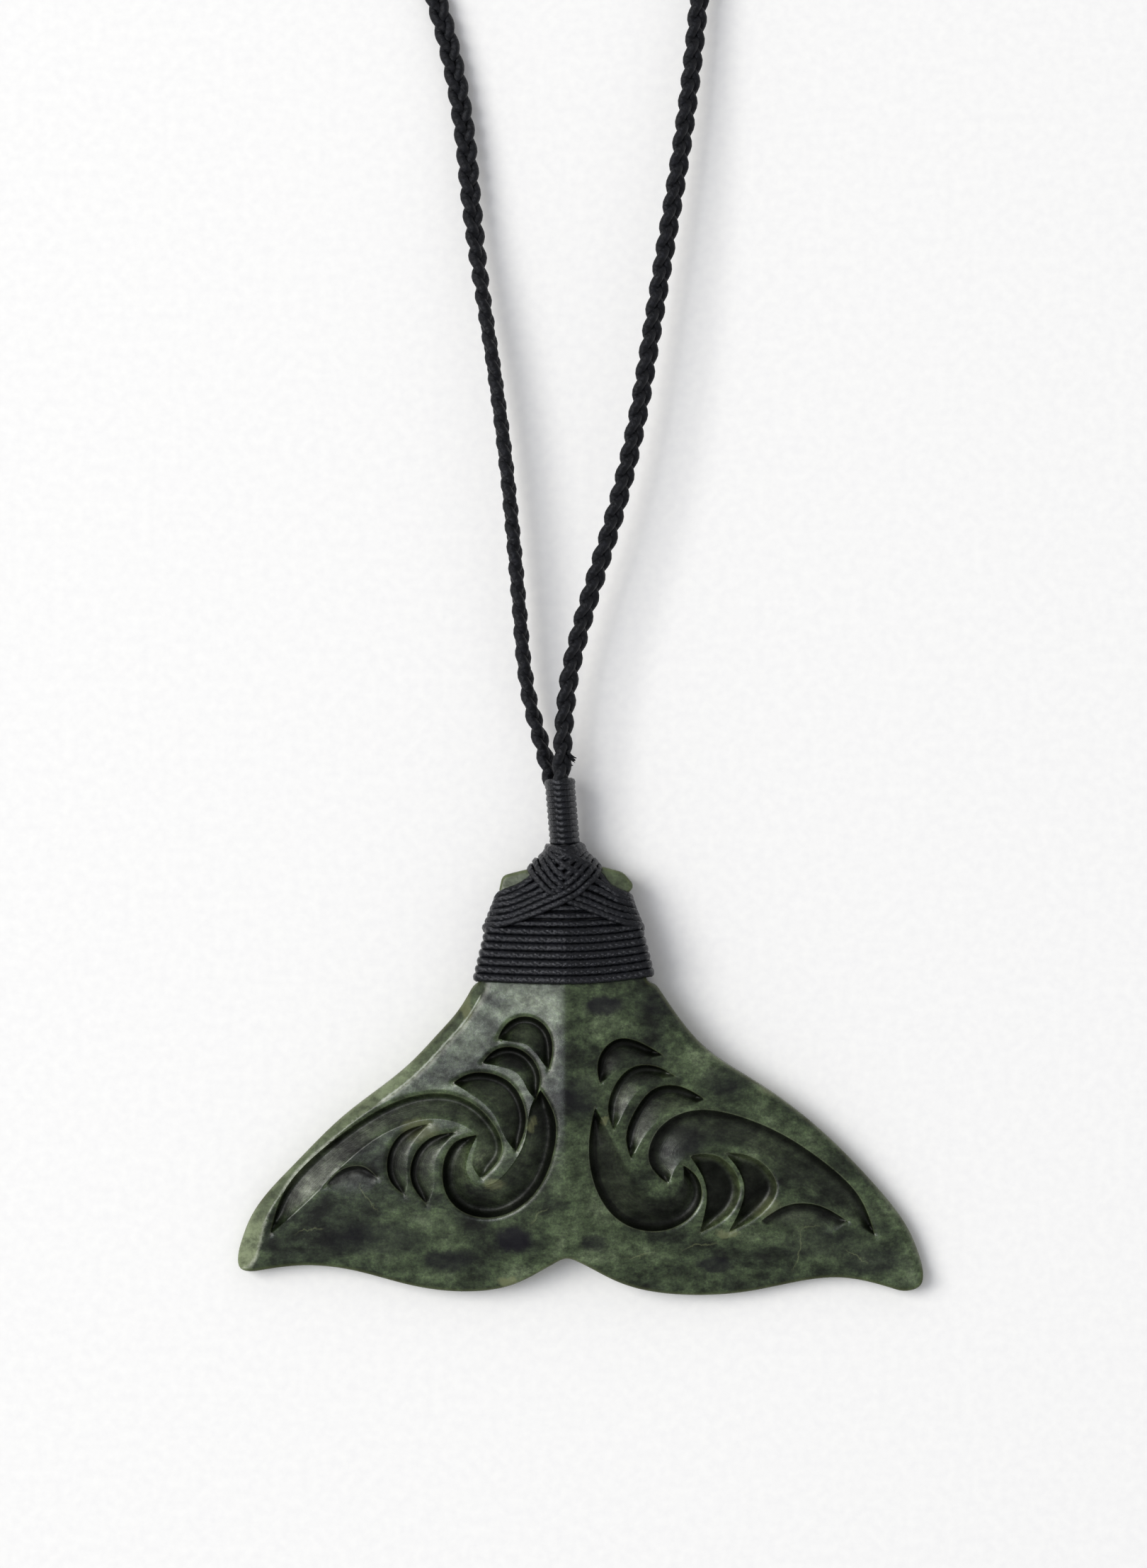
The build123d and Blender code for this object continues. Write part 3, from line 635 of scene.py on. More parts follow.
def tone(code):
    """A colour written as sRGB hex, as the linear values that a shader takes"""
    shares = [int(code[i:i + 2], 16) / 255 for i in (1, 3, 5)]
    return tuple(v / 12.92 if v <= 0.04045 else ((v + 0.055) / 1.055) ** 2.4 for v in shares) + (1.0,)


def node(tree, kind, inputs=None, stops=None, **settings):
    """Adds one node: its own settings, its inputs as values or links, and a ramp's stops"""
    made = tree.nodes.new(kind)
    for name, value in settings.items():
        setattr(made, name, value)
    for key, value in (inputs or {}).items():
        if isinstance(value, bpy.types.NodeSocket):
            tree.links.new(value, made.inputs[key])
        else:
            made.inputs[key].default_value = value
    if stops:
        band = made.color_ramp.elements
        while len(band) < len(stops):
            band.new(0.5)
        for element, (spot, colour) in zip(band, stops):
            element.position, element.color = spot, colour
    return made


def empty_material(name):
    """A material with no nodes yet, and its tree"""
    material = bpy.data.materials.new(name)
    material.use_nodes = True
    material.node_tree.nodes.clear()
    return material, material.node_tree


def grey(value):
    """A grey that lightens or darkens by a factor"""
    return (value, value, value, 1.0)


# Spots seen in the stone: x, y, size across and up, and how strong
dark_spots = [(-6.1, -18.3, 2.3, 1.7, 0.95), (4.4, 8.8, 2.4, 1.2, 0.9), (17.4, -21.4, 2.4, 1.0, 0.8),
              (-22.0, -18.5, 6.0, 2.0, 0.6), (-14.0, -21.0, 3.0, 1.4, 0.75), (36.0, -21.0, 4.0, 1.6, 0.6),
              (18.6, 0.2, 3.4, 1.7, 0.5), (13.0, -7.0, 3.2, 2.4, 0.7), (30.0, -19.2, 5.5, 1.7, 0.5),
              (1.8, -1.6, 2.0, 2.6, 0.6), (3.4, -18.8, 1.6, 1.1, 0.7),
              (-9.2, 6.6, 2.0, 1.2, 0.5), (19.6, -6.2, 3.2, 1.5, 0.5), (11.0, 9.0, 2.2, 1.4, 0.5),
              (-12.6, -20.6, 2.2, 1.0, 0.6)]
pale_spots = [(-3.9, -4.9, 0.5, 0.9, 0.7), (-17.0, -5.6, 2.2, 1.3, 0.4), (-8.4, -11.8, 1.3, 0.6, 0.6),
              (19.0, -17.8, 1.4, 0.5, 0.5), (-6.8, -23.4, 1.2, 0.6, 0.6), (23.4, -14.6, 1.6, 1.2, 0.3),
              (24.0, -0.8, 1.2, 0.8, 0.3), (-11.6, 8.6, 0.7, 1.4, 0.5), (4.6, -4.4, 0.4, 0.5, 0.5)]

# Hair-fine veins seen in the stone: x, y, lean in degrees and length
veins = [(27.2, -19.4, 78, 6.5), (28.4, -17.0, 20, 3.0), (-23.2, -13.6, -55, 4.5), (15.5, -19.2, 8, 5.0),
         (-3.2, -15.6, 40, 3.2), (-30.0, -17.5, 12, 4.0), (34.0, -20.5, -35, 3.5), (8.5, -20.4, 15, 4.0)]


def greenstone_material():
    """Nephrite jade, ground and rubbed to a satin polish: mottled dark green under a soft gloss,
    olive where the edge is thin, matt with painted shade in the cuts, with fine tool lines and painted
    highlights"""
    material, tree = empty_material("satin nephrite jade")
    place = node(tree, "ShaderNodeTexCoord").outputs["Object"]
    scaled = node(tree, "ShaderNodeVectorMath", {0: place, "Scale": 1 / mm}, operation="SCALE").outputs[0]
    carved, from_wall, from_edge, clear, rim, cut_shade_share = (
        node(tree, "ShaderNodeAttribute", attribute_name=name).outputs["Fac"]
        for name in ("carved", "from_wall", "from_edge", "clear", "rim", "wax"))

    # Soft clouds some millimetres across, mottles of a millimetre or two, and a fine grain
    drawn = node(tree, "ShaderNodeMapping", {"Vector": scaled, "Scale": (0.85, 1.15, 1.0)}).outputs[0]
    clouds = node(tree, "ShaderNodeTexNoise", {"Vector": drawn, "Scale": 0.16, "Detail": 6.0,
                                               "Roughness": 0.65, "Distortion": 0.2}).outputs["Fac"]
    body = node(tree, "ShaderNodeValToRGB", {"Fac": clouds},
                stops=[(0.35, tone("#0d110a")), (0.44, tone("#1f2918")), (0.51, tone("#313e25")),
                       (0.59, tone("#3f4d31")), (0.69, tone("#576448"))]).outputs[0]
    mottles = node(tree, "ShaderNodeTexNoise", {"Vector": drawn, "Scale": 0.7, "Detail": 7.0,
                                                "Roughness": 0.68}).outputs["Fac"]
    grain = node(tree, "ShaderNodeTexNoise", {"Vector": scaled, "Scale": 3.6, "Detail": 4.0,
                                              "Roughness": 0.75}).outputs["Fac"]
    for pattern, share, stops in ((mottles, 0.9, [(0.36, grey(0.38)), (0.5, grey(0.92)), (0.65, grey(1.6))]),
                                  (grain, 1.0, [(0.36, grey(0.6)), (0.66, grey(1.45))])):
        light = node(tree, "ShaderNodeValToRGB", {"Fac": pattern}, stops=stops).outputs[0]
        body = node(tree, "ShaderNodeMix", {0: share, 6: body, 7: light}, data_type="RGBA",
                    blend_type="MULTIPLY").outputs[2]

    # Blackish and yellow-green inclusions, with ragged edges
    ragged = node(tree, "ShaderNodeTexNoise", {"Vector": scaled, "Scale": 0.6, "Detail": 5.0,
                                               "Roughness": 0.65}).outputs["Color"]
    pushed = node(tree, "ShaderNodeVectorMath", {0: ragged, 1: (2.0, 2.0, 0.0), 2: (-1.0, -1.0, 0.0)},
                  operation="MULTIPLY_ADD").outputs[0]
    moved = node(tree, "ShaderNodeVectorMath", {0: scaled, 1: pushed}, operation="ADD").outputs[0]
    for spots, colour in ((dark_spots, "#121117"), (pale_spots, "#6f7350")):
        cover = None
        for x, y, wide, tall, strength in spots:
            shifted = node(tree, "ShaderNodeMapping", {
                "Vector": moved, "Location": (-x / wide, -y / tall, 0),
                "Scale": (1 / wide, 1 / tall, 0)}).outputs[0]
            away = node(tree, "ShaderNodeVectorMath", {0: shifted}, operation="LENGTH").outputs["Value"]
            spot = node(tree, "ShaderNodeMapRange", {"Value": away, "From Min": 1.3, "From Max": 0.6,
                                                     "To Min": 0.0, "To Max": strength},
                        interpolation_type="SMOOTHSTEP").outputs[0]
            if cover:
                spot = node(tree, "ShaderNodeMath", {0: cover, 1: spot}, operation="MAXIMUM").outputs[0]
            cover = spot
        if spots is dark_spots:
            dark_cover = cover
        body = node(tree, "ShaderNodeMix", {0: cover, 6: body, 7: tone(colour)}, data_type="RGBA").outputs[2]

    # Hair-fine pale veins, each a short crooked line
    cover = None
    for x, y, lean, length in veins:
        turned = node(tree, "ShaderNodeMapping", {"Vector": moved, "Location": (x, y, 0),
                                                  "Rotation": (0, 0, math.radians(lean))},
                      vector_type="TEXTURE").outputs[0]
        apart = node(tree, "ShaderNodeSeparateXYZ", {0: turned}).outputs
        off = node(tree, "ShaderNodeMath", {0: apart[1]}, operation="ABSOLUTE").outputs[0]
        past = node(tree, "ShaderNodeMath", {0: apart[0]}, operation="ABSOLUTE").outputs[0]
        thin = node(tree, "ShaderNodeMapRange", {"Value": off, "From Min": 0.14, "From Max": 0.0,
                                                 "To Min": 0.0, "To Max": 0.32}).outputs[0]
        short = node(tree, "ShaderNodeMapRange", {"Value": past, "From Min": length / 2,
                                                  "From Max": length / 5}).outputs[0]
        vein = node(tree, "ShaderNodeMath", {0: thin, 1: short}, operation="MULTIPLY").outputs[0]
        if cover:
            vein = node(tree, "ShaderNodeMath", {0: cover, 1: vein}, operation="MAXIMUM").outputs[0]
        cover = vein
    body = node(tree, "ShaderNodeMix", {0: cover, 6: body, 7: tone("#7e8560")}, data_type="RGBA").outputs[2]

    # The thin edge lets light through and looks olive
    thin_edge = node(tree, "ShaderNodeMapRange", {"Value": from_edge, "From Min": 0.5, "From Max": 0.0,
                                                  "To Min": 0.0, "To Max": 0.5},
                     interpolation_type="SMOOTHSTEP").outputs[0]
    body = node(tree, "ShaderNodeMix", {0: thin_edge, 6: body, 7: tone("#555b3a")},
                data_type="RGBA").outputs[2]

    # The bevels and ears are clearer stone, pale green with a touch of yellow, and paler on the left, lit
    # side as painted light
    patchy = node(tree, "ShaderNodeMapRange", {"Value": mottles, "From Min": 0.35, "From Max": 0.62,
                                               "To Min": 0.3, "To Max": 0.85}).outputs[0]
    clearness_and_light = node(tree, "ShaderNodeMath", {0: clear, 1: patchy}, operation="MULTIPLY",
                   use_clamp=True).outputs[0]
    body = node(tree, "ShaderNodeMix", {0: clearness_and_light, 6: body, 7: tone("#808a6b")}, data_type="RGBA").outputs[2]

    # Tool lines a third of a millimetre apart run beside the wall of each scoop
    wobble = node(tree, "ShaderNodeTexNoise", {"Vector": scaled, "Scale": 0.35, "Detail": 1.0}).outputs["Fac"]
    phase = node(tree, "ShaderNodeMath", {0: wobble, 1: 0.9, 2: from_wall},
                 operation="MULTIPLY_ADD").outputs[0]
    lines = node(tree, "ShaderNodeTexNoise", {"W": phase, "Scale": 4.2, "Detail": 3.0, "Roughness": 0.7},
                 noise_dimensions="1D").outputs["Fac"]
    in_cut = node(tree, "ShaderNodeMapRange", {"Value": carved, "From Min": 0.02, "From Max": 0.2}).outputs[0]
    scored = node(tree, "ShaderNodeMath", {0: lines, 1: in_cut}, operation="MULTIPLY").outputs[0]
    line_light = node(tree, "ShaderNodeMapRange", {"Value": lines, "From Min": 0.3, "From Max": 0.7,
                                                   "To Min": 0.75, "To Max": 1.25}).outputs[0]
    line_light = node(tree, "ShaderNodeMix", {0: in_cut, 2: 1.0, 3: line_light}, data_type="FLOAT").outputs[0]
    body = node(tree, "ShaderNodeVectorMath", {0: body, "Scale": line_light}, operation="SCALE").outputs[0]

    # Cuts are greyer the deeper they are, and painted shade darkens them with depth, beside their walls
    # and, where set, on their floors or all over
    deep = node(tree, "ShaderNodeValToRGB", {"Fac": carved},
                stops=[(0.0, grey(1.0)), (0.25, tone("#d2cfca")), (0.8, tone("#888a84"))]).outputs[0]
    body = node(tree, "ShaderNodeMix", {0: 1.0, 6: body, 7: deep}, data_type="RGBA",
                blend_type="MULTIPLY").outputs[2]
    beside = node(tree, "ShaderNodeMapRange", {"Value": from_wall, "From Min": 0.35, "From Max": 1.6,
                                               "To Min": 1.0, "To Max": 0.0},
                  interpolation_type="SMOOTHSTEP").outputs[0]
    cut_in = node(tree, "ShaderNodeMapRange", {"Value": carved, "From Min": 0.01, "From Max": 0.10,
                                               "To Min": 0.0, "To Max": 0.88}).outputs[0]
    shade_by_wall = node(tree, "ShaderNodeMath", {0: beside, 1: cut_shade_share}, operation="MULTIPLY",
                   use_clamp=True).outputs[0]
    out_from_wall = node(tree, "ShaderNodeMapRange", {"Value": from_wall, "From Min": 0.5, "From Max": 1.15},
                         interpolation_type="SMOOTHSTEP").outputs[0]
    floor_shade = node(tree, "ShaderNodeMath", {0: cut_shade_share, 1: -1.0}, operation="MULTIPLY",
                     use_clamp=True).outputs[0]
    shade_on_floor = node(tree, "ShaderNodeMath", {0: out_from_wall, 1: floor_shade}, operation="MULTIPLY").outputs[0]
    painted_cut_shade = node(tree, "ShaderNodeMath", {0: shade_by_wall, 1: shade_on_floor}, operation="MAXIMUM").outputs[0]
    shade_all_over = node(tree, "ShaderNodeMath", {0: cut_shade_share, 1: 1.0}, operation="SUBTRACT",
                    use_clamp=True).outputs[0]
    painted_cut_shade = node(tree, "ShaderNodeMath", {0: painted_cut_shade, 1: shade_all_over}, operation="MAXIMUM").outputs[0]
    painted_cut_shade = node(tree, "ShaderNodeMath", {0: painted_cut_shade, 1: cut_in}, operation="MULTIPLY").outputs[0]
    # The painted shade itself, near black
    body = node(tree, "ShaderNodeMix", {0: painted_cut_shade, 6: body, 7: tone("#050604")}, data_type="RGBA").outputs[2]

    # Rims of the cuts are worn pale and carry a painted highlight, crest lines too, and walls that face the
    # light are painted lighter
    rubbed = node(tree, "ShaderNodeMapRange", {"Value": rim, "From Min": 0.45, "From Max": 1.0,
                                               "To Min": 0.0, "To Max": 0.5}).outputs[0]
    painted_lit_wall = node(tree, "ShaderNodeMapRange", {"Value": from_wall, "From Min": 0.3, "From Max": 1.0,
                                              "To Min": 0.12, "To Max": 0.0},
                 interpolation_type="SMOOTHSTEP").outputs[0]
    painted_lit_wall = node(tree, "ShaderNodeMath", {0: painted_lit_wall, 1: floor_shade}, operation="MULTIPLY").outputs[0]
    rubbed = node(tree, "ShaderNodeMath", {0: rubbed, 1: painted_lit_wall}, operation="MAXIMUM").outputs[0]
    rubbed = node(tree, "ShaderNodeMath", {0: rubbed, 1: patchy}, operation="MULTIPLY").outputs[0]
    # Pale wear and painted highlight on rims and crests, painted light on the lit walls
    body = node(tree, "ShaderNodeMix", {0: rubbed, 6: body, 7: tone("#808663")}, data_type="RGBA").outputs[2]

    # The crest of the left bevel, high up, gets a painted highlight
    painted_crest_highlight = node(tree, "ShaderNodeMapRange", {"Value": rim, "From Min": 0.7, "From Max": 1.3,
                                               "To Max": 0.8}).outputs[0]
    painted_crest_highlight = node(tree, "ShaderNodeMath", {0: painted_crest_highlight, 1: patchy}, operation="MULTIPLY").outputs[0]
    body = node(tree, "ShaderNodeMix", {0: painted_crest_highlight, 6: body, 7: tone("#bcc4c0")}, data_type="RGBA").outputs[2]

    # Polish is patchy, worse on the dark inclusions, in the cuts and on the ground edge
    rough = node(tree, "ShaderNodeMapRange", {"Value": mottles, "From Min": 0.3, "From Max": 0.7,
                                              "To Min": 0.36, "To Max": 0.24}).outputs[0]
    matt = node(tree, "ShaderNodeMapRange", {"Value": carved, "From Min": 0.02, "From Max": 0.3,
                                             "To Min": 0.0, "To Max": 0.1}).outputs[0]
    rough = node(tree, "ShaderNodeMath", {0: rough, 1: matt}, operation="ADD").outputs[0]
    shine = node(tree, "ShaderNodeMapRange", {"Value": clouds, "From Min": 0.36, "From Max": 0.62,
                                              "To Min": 0.22, "To Max": 0.5}).outputs[0]
    fine_shine = node(tree, "ShaderNodeMapRange", {"Value": mottles, "From Min": 0.34, "From Max": 0.66,
                                                   "To Min": 0.65, "To Max": 1.3}).outputs[0]
    on_rim = node(tree, "ShaderNodeMapRange", {"Value": rim, "From Min": 0.5, "From Max": 1.0,
                                               "To Min": 1.0, "To Max": 1.6}).outputs[0]
    dulled = node(tree, "ShaderNodeMapRange", {"Value": dark_cover, "From Min": 0.0, "From Max": 1.0,
                                               "To Min": 1.0, "To Max": 0.45}).outputs[0]
    ground = node(tree, "ShaderNodeMapRange", {"Value": from_edge, "From Min": 0.0, "From Max": 0.4,
                                               "To Min": 0.35, "To Max": 1.0}).outputs[0]
    unpolished = node(tree, "ShaderNodeMapRange", {"Value": carved, "From Min": 0.3, "From Max": 0.8,
                                                   "To Min": 1.0, "To Max": 0.5}).outputs[0]
    unpolished = node(tree, "ShaderNodeMix", {0: painted_lit_wall, 2: unpolished, 3: 1.8},
                      data_type="FLOAT").outputs[0]
    unpolished = node(tree, "ShaderNodeMix", {0: painted_cut_shade, 2: unpolished, 3: 0.25},
                      data_type="FLOAT").outputs[0]
    for share in (fine_shine, on_rim, dulled, ground, unpolished):
        shine = node(tree, "ShaderNodeMath", {0: shine, 1: share}, operation="MULTIPLY").outputs[0]

    # Relief in millimetres: the tool lines, the grain and a slight swell with the mottles
    relief = 0.0
    for pattern, height in ((scored, 0.022), (grain, 0.012), (mottles, 0.05)):
        relief = node(tree, "ShaderNodeMath", {0: pattern, 1: height, 2: relief},
                      operation="MULTIPLY_ADD").outputs[0]
    bump = node(tree, "ShaderNodeBump", {"Height": relief, "Distance": mm, "Strength": 0.7}).outputs[0]
    shader = node(tree, "ShaderNodeBsdfPrincipled", {
        "Base Color": body, "Roughness": rough, "Normal": bump, "IOR": 1.61, "Specular IOR Level": shine,
        "Subsurface Weight": 0.05, "Subsurface Radius": (0.6, 1.0, 0.45),
        "Subsurface Scale": mm}).outputs[0]
    node(tree, "ShaderNodeOutputMaterial", {"Surface": shader})
    return material


def waxed_cord_material(name, ply, gloss, relief_height, bend):
    """Braided polyester cord, waxed: nearly black, with a soft grey gleam along each ply.
    ply is the length of one ply of its fine braid and relief_height how far it stands out, both in
    millimetres. gloss is the smoothest and the roughest of the wax, bend its index of refraction."""
    material, tree = empty_material(name)
    run = node(tree, "ShaderNodeAttribute", attribute_name="run").outputs["Fac"]
    around = node(tree, "ShaderNodeAttribute", attribute_name="around").outputs["Vector"]
    turned = node(tree, "ShaderNodeSeparateXYZ", {0: around})
    angle = node(tree, "ShaderNodeMath", {0: turned.outputs[1], 1: turned.outputs[0]},
                 operation="ARCTAN2").outputs[0]
    along = node(tree, "ShaderNodeMath", {0: run, 1: 2 * math.pi / ply}, operation="MULTIPLY").outputs[0]
    plies = []
    for lean in (2.0, -2.0):
        slant = node(tree, "ShaderNodeMath", {0: angle, 1: lean, 2: along},
                     operation="MULTIPLY_ADD").outputs[0]
        plies.append(node(tree, "ShaderNodeMath", {0: slant}, operation="SINE").outputs[0])
    weave = node(tree, "ShaderNodeMath", {0: plies[0], 1: plies[1]}, operation="MAXIMUM").outputs[0]
    place = node(tree, "ShaderNodeTexCoord").outputs["Object"]
    wax = node(tree, "ShaderNodeTexNoise", {"Vector": place, "Scale": 0.9 / mm, "Detail": 4.0,
                                            "Roughness": 0.6}).outputs["Fac"]
    twisted = node(tree, "ShaderNodeMath", {0: run, 1: 2.2, 2: angle}, operation="MULTIPLY_ADD").outputs[0]
    strewn = node(tree, "ShaderNodeCombineXYZ", {0: twisted, 1: run}).outputs[0]
    fibres = node(tree, "ShaderNodeTexNoise", {"Vector": strewn, "Scale": 2.4, "Detail": 3.0,
                                               "Roughness": 0.7}, noise_dimensions="2D").outputs["Fac"]
    body = node(tree, "ShaderNodeValToRGB", {"Fac": wax},
                stops=[(0.3, tone("#030405")), (0.5, tone("#06070a")), (0.72, tone("#0d0e13"))]).outputs[0]
    # Each ply lighter on its crown and darker where it dips under the next: painted shade and highlight
    light = node(tree, "ShaderNodeMapRange", {"Value": weave, "From Min": -0.4, "From Max": 1.0,
                                              "To Min": 0.45, "To Max": 1.35}).outputs[0]
    body = node(tree, "ShaderNodeVectorMath", {0: body, "Scale": light}, operation="SCALE").outputs[0]
    rough = node(tree, "ShaderNodeMapRange", {"Value": wax, "From Min": 0.3, "From Max": 0.7,
                                              "To Min": gloss[0], "To Max": gloss[1]}).outputs[0]
    fine = node(tree, "ShaderNodeMath", {0: fibres, 1: 0.1}, operation="MULTIPLY").outputs[0]
    relief = node(tree, "ShaderNodeMath", {0: weave, 1: relief_height, 2: fine},
                  operation="MULTIPLY_ADD").outputs[0]
    bump = node(tree, "ShaderNodeBump", {"Height": relief, "Distance": mm, "Strength": 0.7}).outputs[0]
    shader = node(tree, "ShaderNodeBsdfPrincipled", {
        "Base Color": body, "Roughness": rough, "Normal": bump, "IOR": bend, "Specular Tint": tone("#f3f5ff"),
        "Sheen Weight": 0.02, "Sheen Roughness": 0.4, "Sheen Tint": tone("#aab0c0")}).outputs[0]
    node(tree, "ShaderNodeOutputMaterial", {"Surface": shader})
    return material


def padding_material():
    """The under-turns of the lashing, the same waxed cord seen only as dark gaps"""
    material, tree = empty_material("waxed cord under-turns")
    place = node(tree, "ShaderNodeTexCoord").outputs["Object"]
    turns = node(tree, "ShaderNodeTexWave", {"Vector": place, "Scale": 0.33 / mm, "Distortion": 1.0,
                                             "Detail": 2.0, "Detail Scale": 2.0},
                 bands_direction="Y").outputs["Fac"]
    # Lighter on each turn's crown and darker towards the gaps: painted shade
    body = node(tree, "ShaderNodeValToRGB", {"Fac": turns},
                stops=[(0.0, tone("#0b0b0d")), (1.0, tone("#141519"))]).outputs[0]
    bump = node(tree, "ShaderNodeBump", {"Height": turns, "Distance": 0.3 * mm, "Strength": 0.8}).outputs[0]
    shader = node(tree, "ShaderNodeBsdfPrincipled", {
        "Base Color": body, "Roughness": 0.7, "Normal": bump}).outputs[0]
    node(tree, "ShaderNodeOutputMaterial", {"Surface": shader})
    return material


def paper_material():
    """Smooth white paper: matt, with the faintest grain"""
    material, tree = empty_material("white paper")
    place = node(tree, "ShaderNodeTexCoord").outputs["Object"]
    pulp = node(tree, "ShaderNodeTexNoise", {"Vector": place, "Scale": 900.0, "Detail": 3.0}).outputs["Fac"]
    body = node(tree, "ShaderNodeValToRGB", {"Fac": pulp},
                stops=[(0.3, tone("#efeff0")), (0.7, tone("#f4f4f4"))]).outputs[0]
    bump = node(tree, "ShaderNodeBump", {"Height": pulp, "Distance": 0.02 * mm, "Strength": 0.4}).outputs[0]
    shader = node(tree, "ShaderNodeBsdfPrincipled", {
        "Base Color": body, "Roughness": 0.9, "Normal": bump, "Specular IOR Level": 0.2}).outputs[0]
    node(tree, "ShaderNodeOutputMaterial", {"Surface": shader})
    return material


# Plaiting

def plait_tree():
    """Geometry nodes: three strands crossing over and under along each line of the guide"""
    tree = bpy.data.node_groups.new("three strand plait", "GeometryNodeTree")
    ports = [("Guide", "Geometry"), ("Plait length", "Float"), ("Half width", "Float"),
             ("Half depth", "Float"), ("Strand radius", "Float"), ("Sides", "Int"), ("Cord", "Material")]
    for name, kind in ports:
        tree.interface.new_socket(name=name, in_out="INPUT", socket_type=f"NodeSocket{kind}")
    tree.interface.new_socket(name="Strands", in_out="OUTPUT", socket_type="NodeSocketGeometry")
    given = node(tree, "NodeGroupInput").outputs
    line = node(tree, "GeometryNodeMeshToCurve", {"Mesh": given["Guide"]}).outputs["Curve"]
    run = node(tree, "GeometryNodeInputNamedAttribute", {"Name": "run"}, data_type="FLOAT").outputs[0]
    side, face = (node(tree, "GeometryNodeInputNamedAttribute", {"Name": name},
                       data_type="FLOAT_VECTOR").outputs[0] for name in ("side", "face"))
    full = node(tree, "ShaderNodeMath", {0: run, 1: given["Plait length"]}, operation="DIVIDE").outputs[0]
    round_wire = node(tree, "GeometryNodeCurvePrimitiveCircle", {
        "Radius": given["Strand radius"], "Resolution": given["Sides"]}).outputs["Curve"]
    spot = node(tree, "GeometryNodeInputPosition").outputs[0]
    profile = node(tree, "GeometryNodeStoreNamedAttribute", {
        "Geometry": round_wire, "Name": "around", "Value": spot},
        data_type="FLOAT_VECTOR", domain="POINT").outputs[0]
    strands = []
    for i in range(3):
        phase = node(tree, "ShaderNodeMath", {0: full, 1: i / 3}, operation="ADD").outputs[0]
        angle = node(tree, "ShaderNodeMath", {0: phase, 1: 2 * math.pi}, operation="MULTIPLY").outputs[0]
        swing = node(tree, "ShaderNodeMath", {0: angle}, operation="SINE").outputs[0]
        twice = node(tree, "ShaderNodeMath", {0: angle, 1: 2.0}, operation="MULTIPLY").outputs[0]
        lift = node(tree, "ShaderNodeMath", {0: twice}, operation="SINE").outputs[0]
        swing = node(tree, "ShaderNodeMath", {0: swing, 1: given["Half width"]},
                     operation="MULTIPLY").outputs[0]
        lift = node(tree, "ShaderNodeMath", {0: lift, 1: given["Half depth"]},
                    operation="MULTIPLY").outputs[0]
        across = node(tree, "ShaderNodeVectorMath", {0: side, "Scale": swing}, operation="SCALE").outputs[0]
        over = node(tree, "ShaderNodeVectorMath", {0: face, "Scale": lift}, operation="SCALE").outputs[0]
        shift = node(tree, "ShaderNodeVectorMath", {0: across, 1: over}, operation="ADD").outputs[0]
        moved = node(tree, "GeometryNodeSetPosition", {"Geometry": line, "Offset": shift}).outputs[0]
        strands.append(node(tree, "GeometryNodeCurveToMesh", {
            "Curve": moved, "Profile Curve": profile, "Fill Caps": True}).outputs[0])
    joined = node(tree, "GeometryNodeJoinGeometry")
    for strand in strands:
        tree.links.new(strand, joined.inputs[0])
    real = node(tree, "GeometryNodeRealizeInstances", {0: joined.outputs[0]}).outputs[0]
    smooth = node(tree, "GeometryNodeSetShadeSmooth", {0: real}).outputs[0]
    done = node(tree, "GeometryNodeSetMaterial", {"Geometry": smooth, "Material": given["Cord"]}).outputs[0]
    node(tree, "NodeGroupOutput", {"Strands": done})
    return tree


plaiting = plait_tree()


class Line:
    """A thread's middle line in millimetres, with the way that its face looks at each point"""

    def __init__(self, points, face, closed=False, plait=1.0):
        ahead = np.roll(points, -1, axis=0) - np.roll(points, 1, axis=0)
        if not closed:
            ahead = np.gradient(points, axis=0)
        along = unit(ahead)
        face = unit(face - (face * along).sum(1, keepdims=True) * along)
        steps = np.linalg.norm(np.diff(points, axis=0, append=points[:1]), axis=1)
        run = np.concatenate([[0], np.cumsum(steps[:-1])])
        if closed:
            whole = steps.sum()
            run = run * max(1, round(whole / plait)) * plait / whole
        self.points, self.face, self.side = points, face, np.cross(along, face)
        self.run, self.closed = run, closed


def plaited(name, lines, material, plait, half_width, half_depth, radius, sides):
    """Runs the plaiting tree along the lines and returns its result as a plain mesh object"""
    points, edges = [], []
    for line in lines:
        first = sum(len(done) for done in points)
        points.append(line.points)
        last = first + len(line.points) - 1
        edges += [(i, i + 1) for i in range(first, last)]
        if line.closed:
            edges.append((last, first))
    guide = bpy.data.meshes.new(name + " guide")
    guide.from_pydata((np.concatenate(points) * mm).tolist(), edges, [])
    point_attribute(guide, "run", "FLOAT", np.concatenate([line.run for line in lines]))
    point_attribute(guide, "side", "FLOAT_VECTOR", np.concatenate([line.side for line in lines]))
    point_attribute(guide, "face", "FLOAT_VECTOR", np.concatenate([line.face for line in lines]))
    holder = new_object(name + " guide", guide)
    modifier = holder.modifiers.new("plait", "NODES")
    modifier.node_group = plaiting
    sizes = {"Plait length": plait, "Half width": half_width * mm, "Half depth": half_depth * mm,
             "Strand radius": radius * mm, "Sides": sides, "Cord": material}
    for item in plaiting.interface.items_tree:
        if item.in_out == "INPUT" and item.name in sizes:
            modifier[item.identifier] = sizes[item.name]
    view = bpy.context.evaluated_depsgraph_get()
    mesh = bpy.data.meshes.new_from_object(holder.evaluated_get(view), preserve_all_data_layers=True,
                                           depsgraph=view)
    bpy.data.objects.remove(holder)
    mesh.name = name
    return new_object(name, mesh, material)


